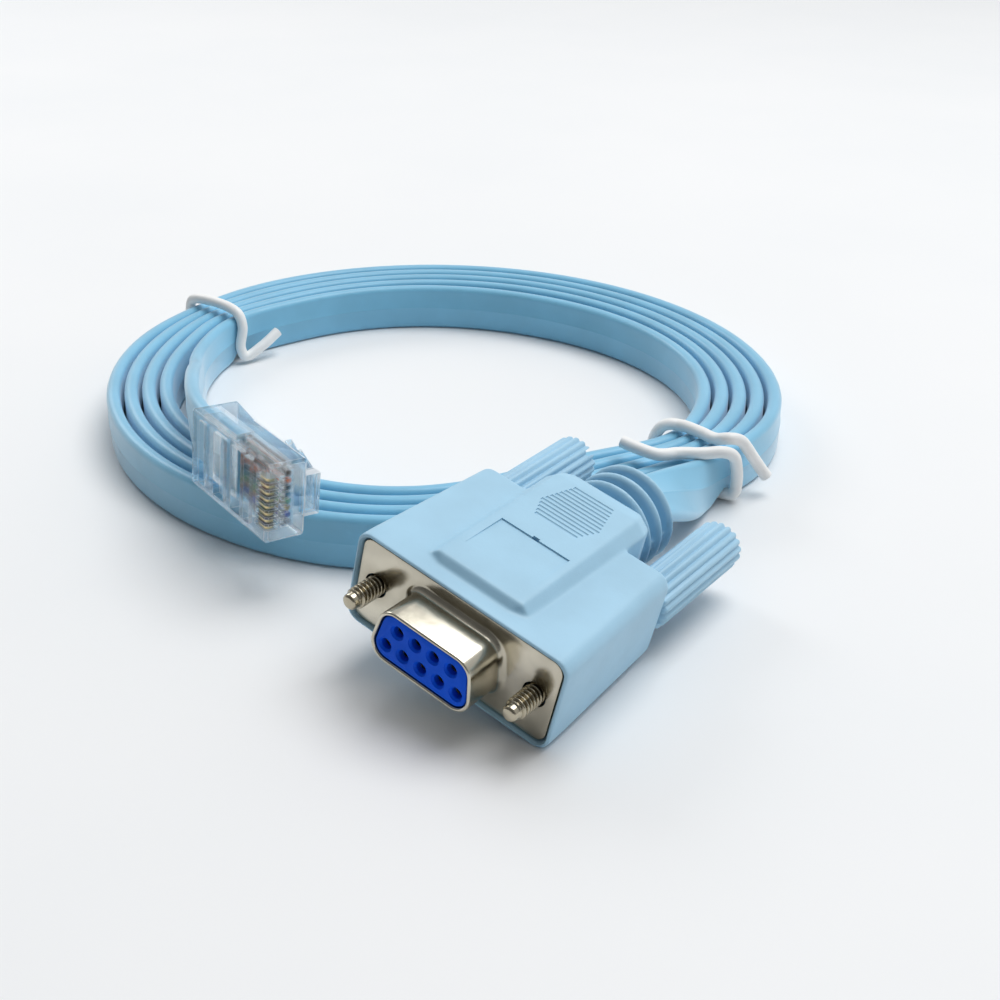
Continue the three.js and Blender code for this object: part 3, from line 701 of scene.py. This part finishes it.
def new_material(name, colour, roughness, metallic=0.0):
    material = bpy.data.materials.new(name)
    material.use_nodes = True
    shader = material.node_tree.nodes["Principled BSDF"]
    shader.inputs["Base Color"].default_value = (*colour, 1)
    shader.inputs["Roughness"].default_value = roughness
    shader.inputs["Metallic"].default_value = metallic
    return material


def noise(material, scale, detail=3.0):
    """Noise over the piece's own coordinates, with features of about 1/scale metres."""
    nodes = material.node_tree.nodes
    coordinates = nodes.new("ShaderNodeTexCoord")
    texture = nodes.new("ShaderNodeTexNoise")
    texture.inputs["Scale"].default_value = scale
    texture.inputs["Detail"].default_value = detail
    material.node_tree.links.new(coordinates.outputs["Object"], texture.inputs["Vector"])
    return texture


def vary_colour(material, texture, low, high):
    ramp = material.node_tree.nodes.new("ShaderNodeValToRGB")
    ramp.color_ramp.elements[0].position = 0.35
    ramp.color_ramp.elements[0].color = (*low, 1)
    ramp.color_ramp.elements[1].position = 0.65
    ramp.color_ramp.elements[1].color = (*high, 1)
    shader = material.node_tree.nodes["Principled BSDF"]
    material.node_tree.links.new(texture.outputs["Fac"], ramp.inputs["Fac"])
    material.node_tree.links.new(ramp.outputs["Color"], shader.inputs["Base Color"])


def vary_roughness(material, texture, low, high):
    spread = material.node_tree.nodes.new("ShaderNodeMapRange")
    spread.inputs["To Min"].default_value = low
    spread.inputs["To Max"].default_value = high
    shader = material.node_tree.nodes["Principled BSDF"]
    material.node_tree.links.new(texture.outputs["Fac"], spread.inputs["Value"])
    material.node_tree.links.new(spread.outputs["Result"], shader.inputs["Roughness"])


def grain(material, texture, depth):
    """Bump of a given depth in metres from a texture."""
    relief = material.node_tree.nodes.new("ShaderNodeBump")
    relief.inputs["Strength"].default_value = 1.0
    relief.inputs["Distance"].default_value = depth
    shader = material.node_tree.nodes["Principled BSDF"]
    material.node_tree.links.new(texture.outputs["Fac"], relief.inputs["Height"])
    material.node_tree.links.new(relief.outputs["Normal"], shader.inputs["Normal"])


def shaded(colour, factor):
    return tuple(c * factor for c in colour)


def soft_plastic(name, colour, roughness, depth=8e-6, spread=0.04, scale=2500):
    material = new_material(name, colour, roughness)
    vary_colour(material, noise(material, 120), shaded(colour, 1 - spread), shaded(colour, 1 + spread))
    vary_roughness(material, noise(material, 700), roughness - 0.06, roughness + 0.08)
    grain(material, noise(material, scale), depth)
    return material


def bright_metal(name, colour, roughness, depth=3e-6, reach=0.0025):
    """Plated metal, darkened in its corners with painted shade from an ambient occlusion mask."""
    material = new_material(name, colour, roughness, metallic=1.0)
    vary_colour(material, noise(material, 260), shaded(colour, 0.9), shaded(colour, 1.06))
    vary_roughness(material, noise(material, 900), roughness - 0.07, roughness + 0.1)
    grain(material, noise(material, 1800, 5), depth)
    nodes = material.node_tree.nodes
    links = material.node_tree.links
    shader = nodes["Principled BSDF"]
    plain = shader.inputs["Base Color"].links[0].from_socket
    # Painted shade: an ambient occlusion mask mixes the base colour towards dark brown in corners, creases
    # and hollows
    corners = nodes.new("ShaderNodeAmbientOcclusion")
    corners.inputs["Distance"].default_value = reach
    painted_shade_ramp = nodes.new("ShaderNodeMapRange")
    painted_shade_ramp.inputs["From Min"].default_value = 0.25
    painted_shade_ramp.inputs["From Max"].default_value = 0.95
    mix = nodes.new("ShaderNodeMix")
    mix.data_type = "RGBA"
    mix.inputs["A"].default_value = (colour[0] * 0.3, colour[1] * 0.27, colour[2] * 0.2, 1)
    links.new(corners.outputs["AO"], painted_shade_ramp.inputs["Value"])
    links.new(painted_shade_ramp.outputs["Result"], mix.inputs["Factor"])
    links.new(plain, mix.inputs["B"])
    links.new(mix.outputs["Result"], shader.inputs["Base Color"])
    return material


def clear_polycarbonate():
    """Clear plastic, a little milky, whiter on its edges from a painted highlight, which lets part of the
    light straight through.
    """
    material = new_material("clear_polycarbonate", (0.95, 0.98, 1.0), 0.08)
    nodes = material.node_tree.nodes
    links = material.node_tree.links
    shader = nodes["Principled BSDF"]
    shader.inputs["Transmission Weight"].default_value = 1.0
    shader.inputs["IOR"].default_value = 1.32
    vary_roughness(material, noise(material, 600), 0.01, 0.06)
    grain(material, noise(material, 350), 4e-6)
    straight = nodes.new("ShaderNodeBsdfTransparent")
    straight.inputs["Color"].default_value = (*CLEAR_TINT, 1)
    mix = nodes.new("ShaderNodeMixShader")
    mix.inputs["Fac"].default_value = 0.4
    lit = nodes.new("ShaderNodeBsdfDiffuse")
    lit.inputs["Color"].default_value = (*CLEAR_WHITE, 1)
    glowing = nodes.new("ShaderNodeBsdfTranslucent")
    glowing.inputs["Color"].default_value = (*CLEAR_WHITE, 1)
    white = nodes.new("ShaderNodeMixShader")
    # Painted highlight: the bevelled edges, marked in the attribute edge, are mixed towards white diffuse and
    # translucent shading, with a little milkiness everywhere
    edge = nodes.new("ShaderNodeAttribute")
    edge.attribute_name = "edge"
    milk_and_highlight_amount = nodes.new("ShaderNodeMath")
    milk_and_highlight_amount.operation = "MULTIPLY_ADD"
    milk_and_highlight_amount.inputs[1].default_value = 0.85
    milk_and_highlight_amount.inputs[2].default_value = 0.015
    milk_and_edge_highlight = nodes.new("ShaderNodeMixShader")
    links.new(shader.outputs["BSDF"], mix.inputs[1])
    links.new(straight.outputs["BSDF"], mix.inputs[2])
    links.new(edge.outputs["Fac"], milk_and_highlight_amount.inputs[0])
    links.new(milk_and_highlight_amount.outputs[0], milk_and_edge_highlight.inputs["Fac"])
    links.new(mix.outputs["Shader"], milk_and_edge_highlight.inputs[1])
    links.new(lit.outputs["BSDF"], white.inputs[1])
    links.new(glowing.outputs["BSDF"], white.inputs[2])
    links.new(white.outputs["Shader"], milk_and_edge_highlight.inputs[2])
    links.new(milk_and_edge_highlight.outputs["Shader"], nodes["Material Output"].inputs["Surface"])
    return material


# CLEAR_WHITE is the white of the clear plastic's slight milkiness and of its painted edge highlight
CLEAR_WHITE = (0.97, 0.985, 1.0)
CLEAR_TINT = (0.93, 0.97, 0.99)
HOOD_BLUE = (0.37, 0.61, 0.78)
JACKET_BLUE = (0.2, 0.52, 0.74)
INSULATOR_BLUE = (0.001, 0.1, 0.8)
NICKEL = (0.62, 0.58, 0.48)
SCREW_STEEL = (0.52, 0.47, 0.36)
CORE_STEEL = (0.1, 0.09, 0.08)
GOLD = (0.92, 0.76, 0.42)
TIE_WHITE = (0.9, 0.9, 0.89)
hood_plastic = soft_plastic("hood_plastic", HOOD_BLUE, 0.42, depth=1.2e-5)
cable_jacket = soft_plastic("cable_jacket", JACKET_BLUE, 0.36, depth=6e-6)
cable_jacket.node_tree.nodes["Principled BSDF"].inputs["Sheen Weight"].default_value = 0.5
shell_nickel = bright_metal("shell_nickel", NICKEL, 0.2)
screw_steel = bright_metal("screw_steel", SCREW_STEEL, 0.2, reach=0.002)
blue_insulator = soft_plastic("blue_insulator", INSULATOR_BLUE, 0.5, spread=0.08)
blue_insulator.node_tree.nodes["Principled BSDF"].inputs["Specular IOR Level"].default_value = 0.12
gold_plate = bright_metal("gold_plate", GOLD, 0.22, reach=0.0005)
tie_white = soft_plastic("tie_white", TIE_WHITE, 0.38, depth=1.5e-5, spread=0.02, scale=900)
core_steel = bright_metal("core_steel", CORE_STEEL, 0.4)
polycarbonate = clear_polycarbonate()


# Flat cable first, with the camera, so that its room is tested

make_camera()
CONNECTOR, ROLL = connector_place()
CONNECTOR_MIDDLE = -CONNECTOR.translation.y / MM
cable, cable_line = flat_cable(cable_jacket, CONNECTOR, ROLL)


# Hood of the D connector

def wings():
    """The moulding's wide block, open sections narrowing a little towards its back."""
    half_width = FLANGE[0] / 2 + SEAT + RIM_WALL
    half_height = FLANGE[1] / 2 + SEAT + RIM_WALL

    def ring(y, inset):
        taper = WING_TAPER * max(0.0, y - MIDDLE_FRONT) / (HOOD_BACK - MIDDLE_FRONT)
        across = half_width - taper - inset
        height = half_height - taper / 3 - inset
        return upright(rectangle(across, height, HOOD_CORNER - inset, 8), y)

    return solid("wings", [
        ring(-RIM_REACH, 0.1), ring(-RIM_REACH + 0.1, 0), ring(0, 0), ring(MIDDLE_FRONT, 0),
        ring(HOOD_BACK - 0.4, 0), ring(HOOD_BACK, 0.4)])


def middle_body():
    shoulder = FLANGE[1] / 2 + SEAT + RIM_WALL - 0.35

    def ring(y, inset):
        top = PANEL_HALF_WIDTH - inset
        half_width = MIDDLE_HALF_WIDTH - inset
        half_height = MIDDLE_HALF_HEIGHT - inset
        corners = [(-top, -half_height), (top, -half_height), (half_width, inset - shoulder),
                   (half_width, shoulder - inset), (top, half_height), (-top, half_height),
                   (-half_width, shoulder - inset), (-half_width, inset - shoulder)]
        return upright(rounded_outline(corners, 0.3, 3), y)

    return solid("middle", [
        ring(MIDDLE_FRONT, 1.6), ring(MIDDLE_FRONT + 1.3, 0), ring(MIDDLE_BACK - 3.4, 0),
        ring(MIDDLE_BACK - 2, 0.33), ring(MIDDLE_BACK - 0.5, 1.0), ring(MIDDLE_BACK, 2.0)])


def relief():
    """A flat core with round ribs on it, and the small webs that tie them together."""
    core = solid("core", [upright(rectangle(*RELIEF_CORE), y) for y in (MIDDLE_BACK - 0.6, RELIEF_BACK)])
    half_web, web_height = RELIEF_WEB
    webs = block("webs", (-half_web, MIDDLE_BACK - 0.6, -web_height),
                 (half_web, RELIEF_BACK - 0.6, web_height))
    rib = turned("rib", [
        (0, 0), (RELIEF_RADIUS - 0.5, 0), (RELIEF_RADIUS, 0.45), (RELIEF_RADIUS, RELIEF_RIB - 0.75),
        (RELIEF_RADIUS - 0.5, RELIEF_RIB - 0.3), (0, RELIEF_RIB - 0.3)], 72)
    ROW.apply(rib, count=RELIEF_RIBS, start=(0, MIDDLE_BACK + RELIEF_GAP + 0.2, 0),
              step=(0, RELIEF_RIB + RELIEF_GAP, 0))
    return [core, webs, rib]


def grip_grooves():
    """Cutter for the fine ridges of the thumb grip."""
    half = GRIP_HALF_LENGTH
    groove = turned("groove", [(0, -half), (GRIP_GROOVE, -half), (GRIP_GROOVE, half), (0, half)], 12)
    spun(groove, math.radians(90), "Z")
    return GRIP.apply(groove, count=GRIP_RIDGES, start=(0, GRIP_START, MIDDLE_HALF_HEIGHT + GRIP_CLEAR),
                      step=(0, GRIP_PITCH, 0), widest=4.0, front_scale=0.72, back_scale=0.64)


def label_recess():
    """Cutter for the bare label place: deepest at its back, fading out towards the front."""
    panel = MIDDLE_HALF_HEIGHT
    outline = [(LABEL_START, panel - 0.02), (LABEL_END, panel - LABEL_DEPTH), (LABEL_END, panel + 1),
               (LABEL_START, panel + 1)]
    recess = solid("recess", [[(x, y, z) for y, z in outline] for x in (-LABEL_HALF_WIDTH, LABEL_HALF_WIDTH)])
    notch_outline = rounded_outline([(-0.5, 7), (0.5, 7), (0.5, 9), (-0.5, 9)], 0.2, 3)
    notch = solid("notch", [upright(notch_outline, y) for y in (LABEL_END - 0.1, LABEL_END + 0.35)])
    return recess, notch


def hood():
    whole = joined("hood_moulding", [wings(), middle_body(), *relief()])
    skin = whole.modifiers.new("skin", "REMESH")
    skin.mode = "VOXEL"
    skin.voxel_size = SKIN
    soften = whole.modifiers.new("soften", "SMOOTH")
    soften.factor = 0.5
    soften.iterations = 5
    applied(whole)
    width, height, corner = FLANGE

    def pocket_ring(y, flare):
        room = SEAT + flare
        return upright(rectangle(width / 2 + room, height / 2 + room, corner + flare, 8), y)

    pocket = solid("pocket", [pocket_ring(-2, 0.3), pocket_ring(-RIM_REACH - 0.05, 0.3),
                              pocket_ring(-0.05, 0), pocket_ring(FLANGE_THICKNESS + SEAT, 0)])
    bores = []
    for side in (-1, 1):
        bore = turned("bore", [(0, 0), (SCREW_BORE, 0), (SCREW_BORE, 30), (0, 30)], 32)
        bores.append(moved(bore, side * SCREW_SPACING / 2))
    cut(whole, pocket, *bores, grip_grooves(), *label_recess())
    return finished(whole, CONNECTOR, hood_plastic, "hood_plastic", BODY, "moulded_hood", sharp=50)


hood()


# Metal shell, its insulator and the contacts

def shell():
    """The drawn D with its rolled lip and the fillet at its foot, and the flange round it."""
    lip = SHELL_WALL / 2
    front = lip - SHELL_REACH
    rings = [upright(d_outline(SHELL_WALL), FLANGE_THICKNESS), upright(d_outline(SHELL_WALL), front)]
    for k in range(1, 9):
        angle = math.pi * k / 8
        rings.append(upright(d_outline(lip + lip * math.cos(angle)), front - lip * math.sin(angle)))
    for k in range(9):
        angle = math.pi / 2 * k / 8
        outset = SHELL_FILLET * (1 - math.cos(angle))
        rings.append(upright(d_outline(-outset), SHELL_FILLET * (math.sin(angle) - 1)))
    width, height, corner = FLANGE
    thick = FLANGE_THICKNESS
    for inset, y in ((0.15, 0), (0.04, 0.04), (0, 0.15), (0, thick - 0.15), (0.15, thick)):
        rings.append(upright(rectangle(width / 2 - inset, height / 2 - inset, corner - inset, 8), y))
    piece = solid("drawn_shell", rings, closed=True)
    holes = [moved(turned("hole", [(0, -2), (1.7, -2), (1.7, 2), (0, 2)], 40), side * SCREW_SPACING / 2)
             for side in (-1, 1)]
    cut(piece, *holes)
    return finished(piece, CONNECTOR, shell_nickel, "shell_nickel", BODY, "connector_shell", sharp=30)


def insulator():
    face = FACE_SETBACK - SHELL_REACH
    inset = SHELL_WALL + SEAT / 2
    piece = solid("insulator_block", [
        upright(d_outline(inset + 0.25), face), upright(d_outline(inset + 0.08), face + 0.08),
        upright(d_outline(inset), face + 0.25), upright(d_outline(inset), 0.7)])
    for count, side in ((4, 1), (5, -1)):
        hole = turned("hole", [(0, face - 1), (1.02, face - 1), (1.02, face + 0.05),
                               (0.78, face + 0.32), (0.78, 1.5), (0, 1.5)], 32)
        ROW.apply(hole, count=count, start=(-(count - 1) / 2 * CONTACT_PITCH, 0, side * ROW_PITCH / 2),
                  step=(CONTACT_PITCH, 0, 0))
        cut(piece, hole)
    return finished(piece, CONNECTOR, blue_insulator, "insulator_plastic", BODY, "connector_insulator",
                    sharp=30)


shell()
insulator()
for i in range(1, 10):
    contact = frame["nodes"][f"socket_contact_{i}"]
    contact.data.materials.clear()
    contact.data.materials.append(gold_plate)


# Thumbscrews

def screw(side):
    """Threaded tip with a plain pilot, on a plain shank that runs back into the knob."""
    segments = 40
    rings = []
    tip = -SCREW_REACH
    thread_start = tip + PILOT_LENGTH
    places = [tip, tip + 0.08, tip + 0.2, tip + 0.35, *np.arange(thread_start, 2.0, THREAD_STEP), 2.2]
    places.append(KNOB_FRONT + 10)
    for y in places:
        ring = []
        for k in range(segments):
            angle = 2 * math.pi * k / segments
            phase = (y / SCREW_PITCH - k / segments) % 1
            crest = min(1.0, max(0.0, 1.7 * (1 - abs(2 * phase - 1)) - 0.25))
            growth = min(1.0, max(0.0, (y - thread_start) / 0.5)) * (1.0 if y < 2 else 0.0)
            radius = SCREW_ROOT + (SCREW_RADIUS - SCREW_ROOT) * crest * growth
            rounding = max(0.0, 0.35 - (y - tip)) / 0.35
            radius -= 0.35 * rounding ** 2
            ring.append((radius * math.cos(angle), y, radius * math.sin(angle)))
        rings.append(ring)
    name = "left" if side < 0 else "right"
    piece = moved(solid(f"threaded_screw_{name}", rings), side * SCREW_SPACING / 2)
    return finished(piece, CONNECTOR, screw_steel, "screw_steel", f"{name}_thumbscrew",
                    f"jackscrew_{name}", sharp=50)


def knob(side):
    """Fluted knob, rounded at both ends, with a driver slot across its back."""
    points = FLUTES * 8

    def ring(y, inset):
        made = []
        for k in range(points):
            angle = 2 * math.pi * k / points
            wave = 0.5 - 0.5 * math.cos(FLUTES * angle)
            radius = KNOB_RADIUS - FLUTE_DEPTH * wave ** 1.8 - inset
            made.append((radius * math.cos(angle), y, radius * math.sin(angle)))
        return made

    back = KNOB_FRONT + KNOB_LENGTH
    rings = [ring(KNOB_FRONT, 0.5), ring(KNOB_FRONT + 0.12, 0.2), ring(KNOB_FRONT + 0.4, 0),
             ring(back - 0.5, 0), ring(back - 0.15, 0.15), ring(back, 0.55)]
    name = "left" if side < 0 else "right"
    piece = solid(f"fluted_knob_{name}", rings)
    half_slot, slot_depth = KNOB_SLOT
    slot = block("slot", (-6, back - slot_depth, -half_slot), (6, back + 1, half_slot))
    spun(slot, math.radians(KNOB_SLOT_ANGLES[name]), "Y")
    cut(piece, slot)
    moved(piece, side * SCREW_SPACING / 2)
    return finished(piece, CONNECTOR, hood_plastic, "hood_plastic", f"{name}_thumbscrew",
                    f"thumb_knob_{name}", sharp=35)


for side in (-1, 1):
    screw(side)
    knob(side)


# Wire ties

def resting(points):
    return [np.array([p[0], p[1], max(p[2], TIE_RADIUS + 0.12)]) for p in points]


def tie(name, node, points):
    """Plastic-covered wire along the points, with its steel core showing at the cut end."""
    line = resting(smooth_line(points, 46))
    piece = line_object(name, smooth_line(line, 46 * 5))
    WIRE.apply(piece, radius=TIE_RADIUS, sides=20, material=tie_white)
    finished(piece, FRAME_PLACE, tie_white, "tie_plastic", BODY, node, sharp=60)
    ahead = unit(line[1] - line[0])
    core = line_object(name + "_core", [line[0] - 0.15 * ahead, line[0] + 0.5 * ahead])
    WIRE.apply(core, radius=0.38, sides=12, material=core_steel)
    return [piece, finished(core, FRAME_PLACE, core_steel, "screw_steel", BODY, sharp=40)]


TIE_TOP = CABLE_WIDTH + TIE_HUG + TIE_RADIUS
TIE_FOOT = TIE_RADIUS


def near(base, dx, dy, z):
    return (base[0] + dx, base[1] + dy, z)


def right_tie():
    reach = CABLE_THICKNESS / 2 + TIE_HUG + TIE_RADIUS
    outer = on_coil(TIE_ANGLES[0] / 360, reach)
    inner = on_coil(WHOLE_TURNS + TIE_ANGLES[0] / 360, -reach)
    return tie("wire_tie_right", "twist_tie_right", [
        near(inner, 0.7, -11.5, TIE_TOP + 1.8), near(inner, 3.8, -11, TIE_TOP + 1.2),
        near(outer, -7.5, -10.6, TIE_TOP + 0.6), near(outer, -5.8, -7.7, TIE_TOP + 0.2),
        near(outer, -2.9, -5.4, TIE_TOP + 0.1), near(outer, -0.5, -3.1, TIE_TOP + 0.1),
        near(outer, 0.5, -1.7, TIE_TOP - 0.8), near(outer, 0.6, -0.5, TIE_TOP - 3.4),
        near(outer, 0.4, 0.3, TIE_FOOT + 2.4), near(outer, 0.2, 0.1, TIE_FOOT + 0.7),
        near(outer, -0.9, 0, TIE_FOOT), near(inner, 1.2, 0.1, TIE_FOOT),
        near(inner, -0.4, 0, TIE_FOOT + 1.6), near(inner, -0.4, 0.2, TIE_TOP - 2.2),
        near(inner, 1, 0.8, TIE_TOP), near(inner, 3, 2, TIE_TOP + 0.1), near(outer, -7.4, 1.2, TIE_TOP),
        near(outer, -3.8, 0.3, TIE_TOP + 0.1), near(outer, -1.6, 0, TIE_TOP + 0.9),
        near(outer, -0.2, 1.5, TIE_TOP + 0.4), near(outer, 0.9, 3.4, TIE_TOP - 2.4),
        near(outer, 1.8, 4.8, TIE_TOP - 4.8), near(outer, 2.9, 5.5, TIE_TOP - 6.6)])


def left_tie():
    reach = CABLE_THICKNESS / 2 + TIE_HUG + TIE_RADIUS
    turns = TIE_ANGLES[1] / 360
    outer = on_coil(turns, reach)
    inner = on_coil(turns + WHOLE_TURNS, -reach)
    return tie("wire_tie_left", "twist_tie_left", [
        near(inner, 2.6, 6.9, TIE_FOOT + 3.6), near(inner, 2, 3, TIE_FOOT + 1.7),
        near(inner, 1, -0.4, TIE_FOOT + 0.5), near(inner, 0.4, -0.9, TIE_FOOT + 2.2),
        near(inner, 0.4, 0, TIE_TOP - 2.4), near(inner, -0.9, 0.1, TIE_TOP), near(outer, 1, 1.2, TIE_TOP),
        near(outer, -0.3, 1.3, TIE_TOP - 1.8), near(outer, -0.3, 1.1, TIE_FOOT + 1.6),
        near(outer, 0.9, 0.9, TIE_FOOT), near(inner, -3, 0.4, TIE_FOOT)])


tie_pieces = [*right_tie(), *left_tie()]


# Clear plug

PLUG = plug_place()


def plug_ring(low, high, z, inset=0.0):
    outline = rectangle(PLUG_WIDTH / 2 - inset, (high - low) / 2 - inset, PLUG_CORNER, 3)
    return [(x, y + (high + low) / 2, z) for x, y in outline]


def plug_body():
    piece = solid("clear_plug", [
        plug_ring(REAR_FACE, CONTACT_FACE, 0, 0.25), plug_ring(REAR_FACE, CONTACT_FACE, 0.25),
        plug_ring(LATCH_FACE, CONTACT_FACE, REAR_LENGTH),
        plug_ring(LATCH_FACE, CONTACT_FACE, PLUG_LENGTH - 0.4),
        plug_ring(LATCH_FACE, CONTACT_FACE, PLUG_LENGTH, 0.4)])
    root = block("root", (-LATCH_ROOT_HALF, LATCH_FACE - LATCH_ROOT_HEIGHT, LATCH_FRONT + 0.3),
                 (LATCH_ROOT_HALF, LATCH_FACE + 0.3, PLUG_LENGTH - 0.35))
    fused(piece, root)
    half_entry, entry_height = ENTRY_HALF
    half_wires = (WIRES - 1) / 2 * PLUG_PITCH + 0.65
    cuts = [
        block("entry", (-half_entry, -entry_height, -1), (half_entry, entry_height, ENTRY_LENGTH + 0.3)),
        block("channel", (-half_wires, WIRE_Y - 0.65, ENTRY_LENGTH),
              (half_wires, WIRE_Y + 0.65, PLUG_LENGTH - 1)),
    ]
    half = PLUG_WIDTH / 2 - WINDOW_RIM
    for front, back, depth in WINDOWS:
        cuts.append(block("window", (-half, CONTACT_FACE - depth, front), (half, CONTACT_FACE + 1, back)))
    first = -(WIRES - 1) / 2 * PLUG_PITCH
    half_slot = BLADE_HALF + BLADE_ROOM
    blade_slot = block("blade_slot", (-half_slot, CONTACT_FACE - 1.8, BLADE[0] - 0.2),
                       (half_slot, CONTACT_FACE + 1, PLUG_LENGTH + 1))
    nose_slot = block("nose_slot", (-0.16, CONTACT_FACE - 3.4, PLUG_LENGTH - 0.9),
                      (0.16, CONTACT_FACE - 2.3, PLUG_LENGTH + 1))
    for cutter in (blade_slot, nose_slot):
        cuts.append(ROW.apply(cutter, count=WIRES, start=(first, 0, 0), step=(PLUG_PITCH, 0, 0)))
    cut(piece, *cuts)
    bevelled(piece, 0.1)
    return finished(piece, PLUG, polycarbonate, "clear_plastic", BODY, "plug_body", sharp=30)


def plug_blades():
    """Gold blades: flat along the contact face, rounded over the nose."""
    start, end, low, high = BLADE
    outline = rounded_outline([(start, low), (end, low), (end, high), (start, high)], 0.4, 5)
    blade = solid("gold_blades", [[(x, y, z) for z, y in outline] for x in (-BLADE_HALF, BLADE_HALF)])
    ROW.apply(blade, count=WIRES, start=(-(WIRES - 1) / 2 * PLUG_PITCH, 0, 0), step=(PLUG_PITCH, 0, 0),
              material=gold_plate)
    nodes = [f"plug_contact_{i + 1}" for i in range(WIRES)]
    return finished(blade, PLUG, gold_plate, "gold_plate", BODY, *nodes, sharp=30)


WIRE_SLOTS = ("brown_wire", "orange_wire", "black_wire", "teal_wire", "green_wire", "ochre_wire", "blue_wire",
              "grey_wire")
WIRE_COLOURS = ((0.10, 0.045, 0.02), (0.75, 0.16, 0.03), (0.008, 0.008, 0.01), (0.01, 0.13, 0.22),
                (0.03, 0.26, 0.07), (0.45, 0.26, 0.04), (0.03, 0.05, 0.42), (0.25, 0.26, 0.3))


def plug_wires():
    """The conductors, run straight and side by side from the jacket to the blades, with a slight wave."""
    pieces = []
    for i, (slot, colour) in enumerate(zip(WIRE_SLOTS, WIRE_COLOURS)):
        x = ((WIRES - 1) / 2 - i) * PLUG_PITCH
        points = [(x, WIRE_Y, ENTRY_LENGTH + 0.3), (x, WIRE_Y, 12.0),
                  (x, WIRE_Y + 0.08 * math.sin(2.1 * i), 14.5), (x, WIRE_Y, 17.0), (x, WIRE_Y, 20.1)]
        piece = line_object(f"conductor_{i + 1}", smooth_line(points, 24))
        material = soft_plastic(slot, colour, 0.35, spread=0.1)
        WIRE.apply(piece, radius=WIRE_RADIUS, sides=16, material=material)
        finished(piece, PLUG, material, slot, BODY, f"plug_conductor_{i + 1}", sharp=60)
        pieces.append(piece)
    return pieces


def latch():
    """Lever: broad at its root, with a narrow tongue that stands off behind."""
    rise = CONTACT_FACE - 12.2

    def lever(name, half, low, high):
        outline = [(LATCH_FRONT, LATCH_FACE - 0.6), (low, high + 0.96), (low, high - 0.24),
                   (LATCH_FRONT, LATCH_FACE - LATCH_ROOT_HEIGHT)]
        return solid(name, [[(x, y, z) for z, y in outline] for x in (-half, half)])

    shoulder = PLUG_LENGTH - 8.2
    share = (LATCH_FRONT - shoulder) / (LATCH_FRONT - LATCH_TIP)
    shoulder_y = (LATCH_FACE - 1.45) * (1 - share) + rise * share
    tongue = lever("clear_latch", LATCH_HALF, LATCH_TIP, rise)
    piece = fused(tongue, lever("shoulder", LATCH_ROOT_HALF, shoulder, shoulder_y))
    bevelled(piece, 0.15)
    return finished(piece, PLUG, polycarbonate, "clear_plastic", "latch", "plug_latch", sharp=30)


plug_pieces = [plug_body(), plug_blades(), *plug_wires(), latch()]


# Floor and light

def floor():
    size = 3.0
    mesh = bpy.data.meshes.new("floor")
    corners = [(-size, -size, 0), (size, -size, 0), (size, size, 0), (-size, size, 0)]
    mesh.from_pydata(corners, [], [(0, 1, 2, 3)])
    piece = new_object("floor", mesh)
    material = new_material("white_floor", (0.86, 0.87, 0.875), 0.6)
    vary_colour(material, noise(material, 12), (0.85, 0.86, 0.868), (0.87, 0.875, 0.88))
    mesh.materials.append(material)


def area_light(name, at, towards, size, power):
    data = bpy.data.lights.new(name, "AREA")
    data.shape = "DISK"
    data.size = size
    data.energy = power
    lamp = bpy.data.objects.new(name, data)
    lamp.location = at
    lamp.rotation_euler = (Vector(towards) - Vector(at)).to_track_quat("-Z", "Y").to_euler()
    bpy.context.scene.collection.objects.link(lamp)


def world():
    """Bright behind the object, dark on the near side."""
    made = bpy.data.worlds.new("studio")
    made.use_nodes = True
    nodes = made.node_tree.nodes
    links = made.node_tree.links
    background = nodes["Background"]
    background.inputs["Color"].default_value = (0.96, 0.98, 1.0, 1)
    towards = nodes.new("ShaderNodeTexCoord")
    split = nodes.new("ShaderNodeSeparateXYZ")
    strength = nodes.new("ShaderNodeMapRange")
    strength.inputs["From Min"].default_value = -0.6
    strength.inputs["From Max"].default_value = 0.7
    strength.inputs["To Min"].default_value = 0.14
    strength.inputs["To Max"].default_value = 0.72
    links.new(towards.outputs["Generated"], split.inputs["Vector"])
    links.new(split.outputs["Y"], strength.inputs["Value"])
    links.new(strength.outputs["Result"], background.inputs["Strength"])
    bpy.context.scene.world = made


floor()
world()
area_light("key", (0.12, 0.32, 0.9), (-0.03, 0.03, 0), 0.75, 6.2)
area_light("left", (-0.7, 0.2, 0.45), (-0.03, 0.0, 0), 0.35, 1.2)
scene = bpy.context.scene
scene.view_settings.view_transform = "Standard"
scene.view_settings.look = "Medium Contrast"
scene.cycles.max_bounces = 16
scene.cycles.transmission_bounces = 16
scene.cycles.transparent_max_bounces = 16
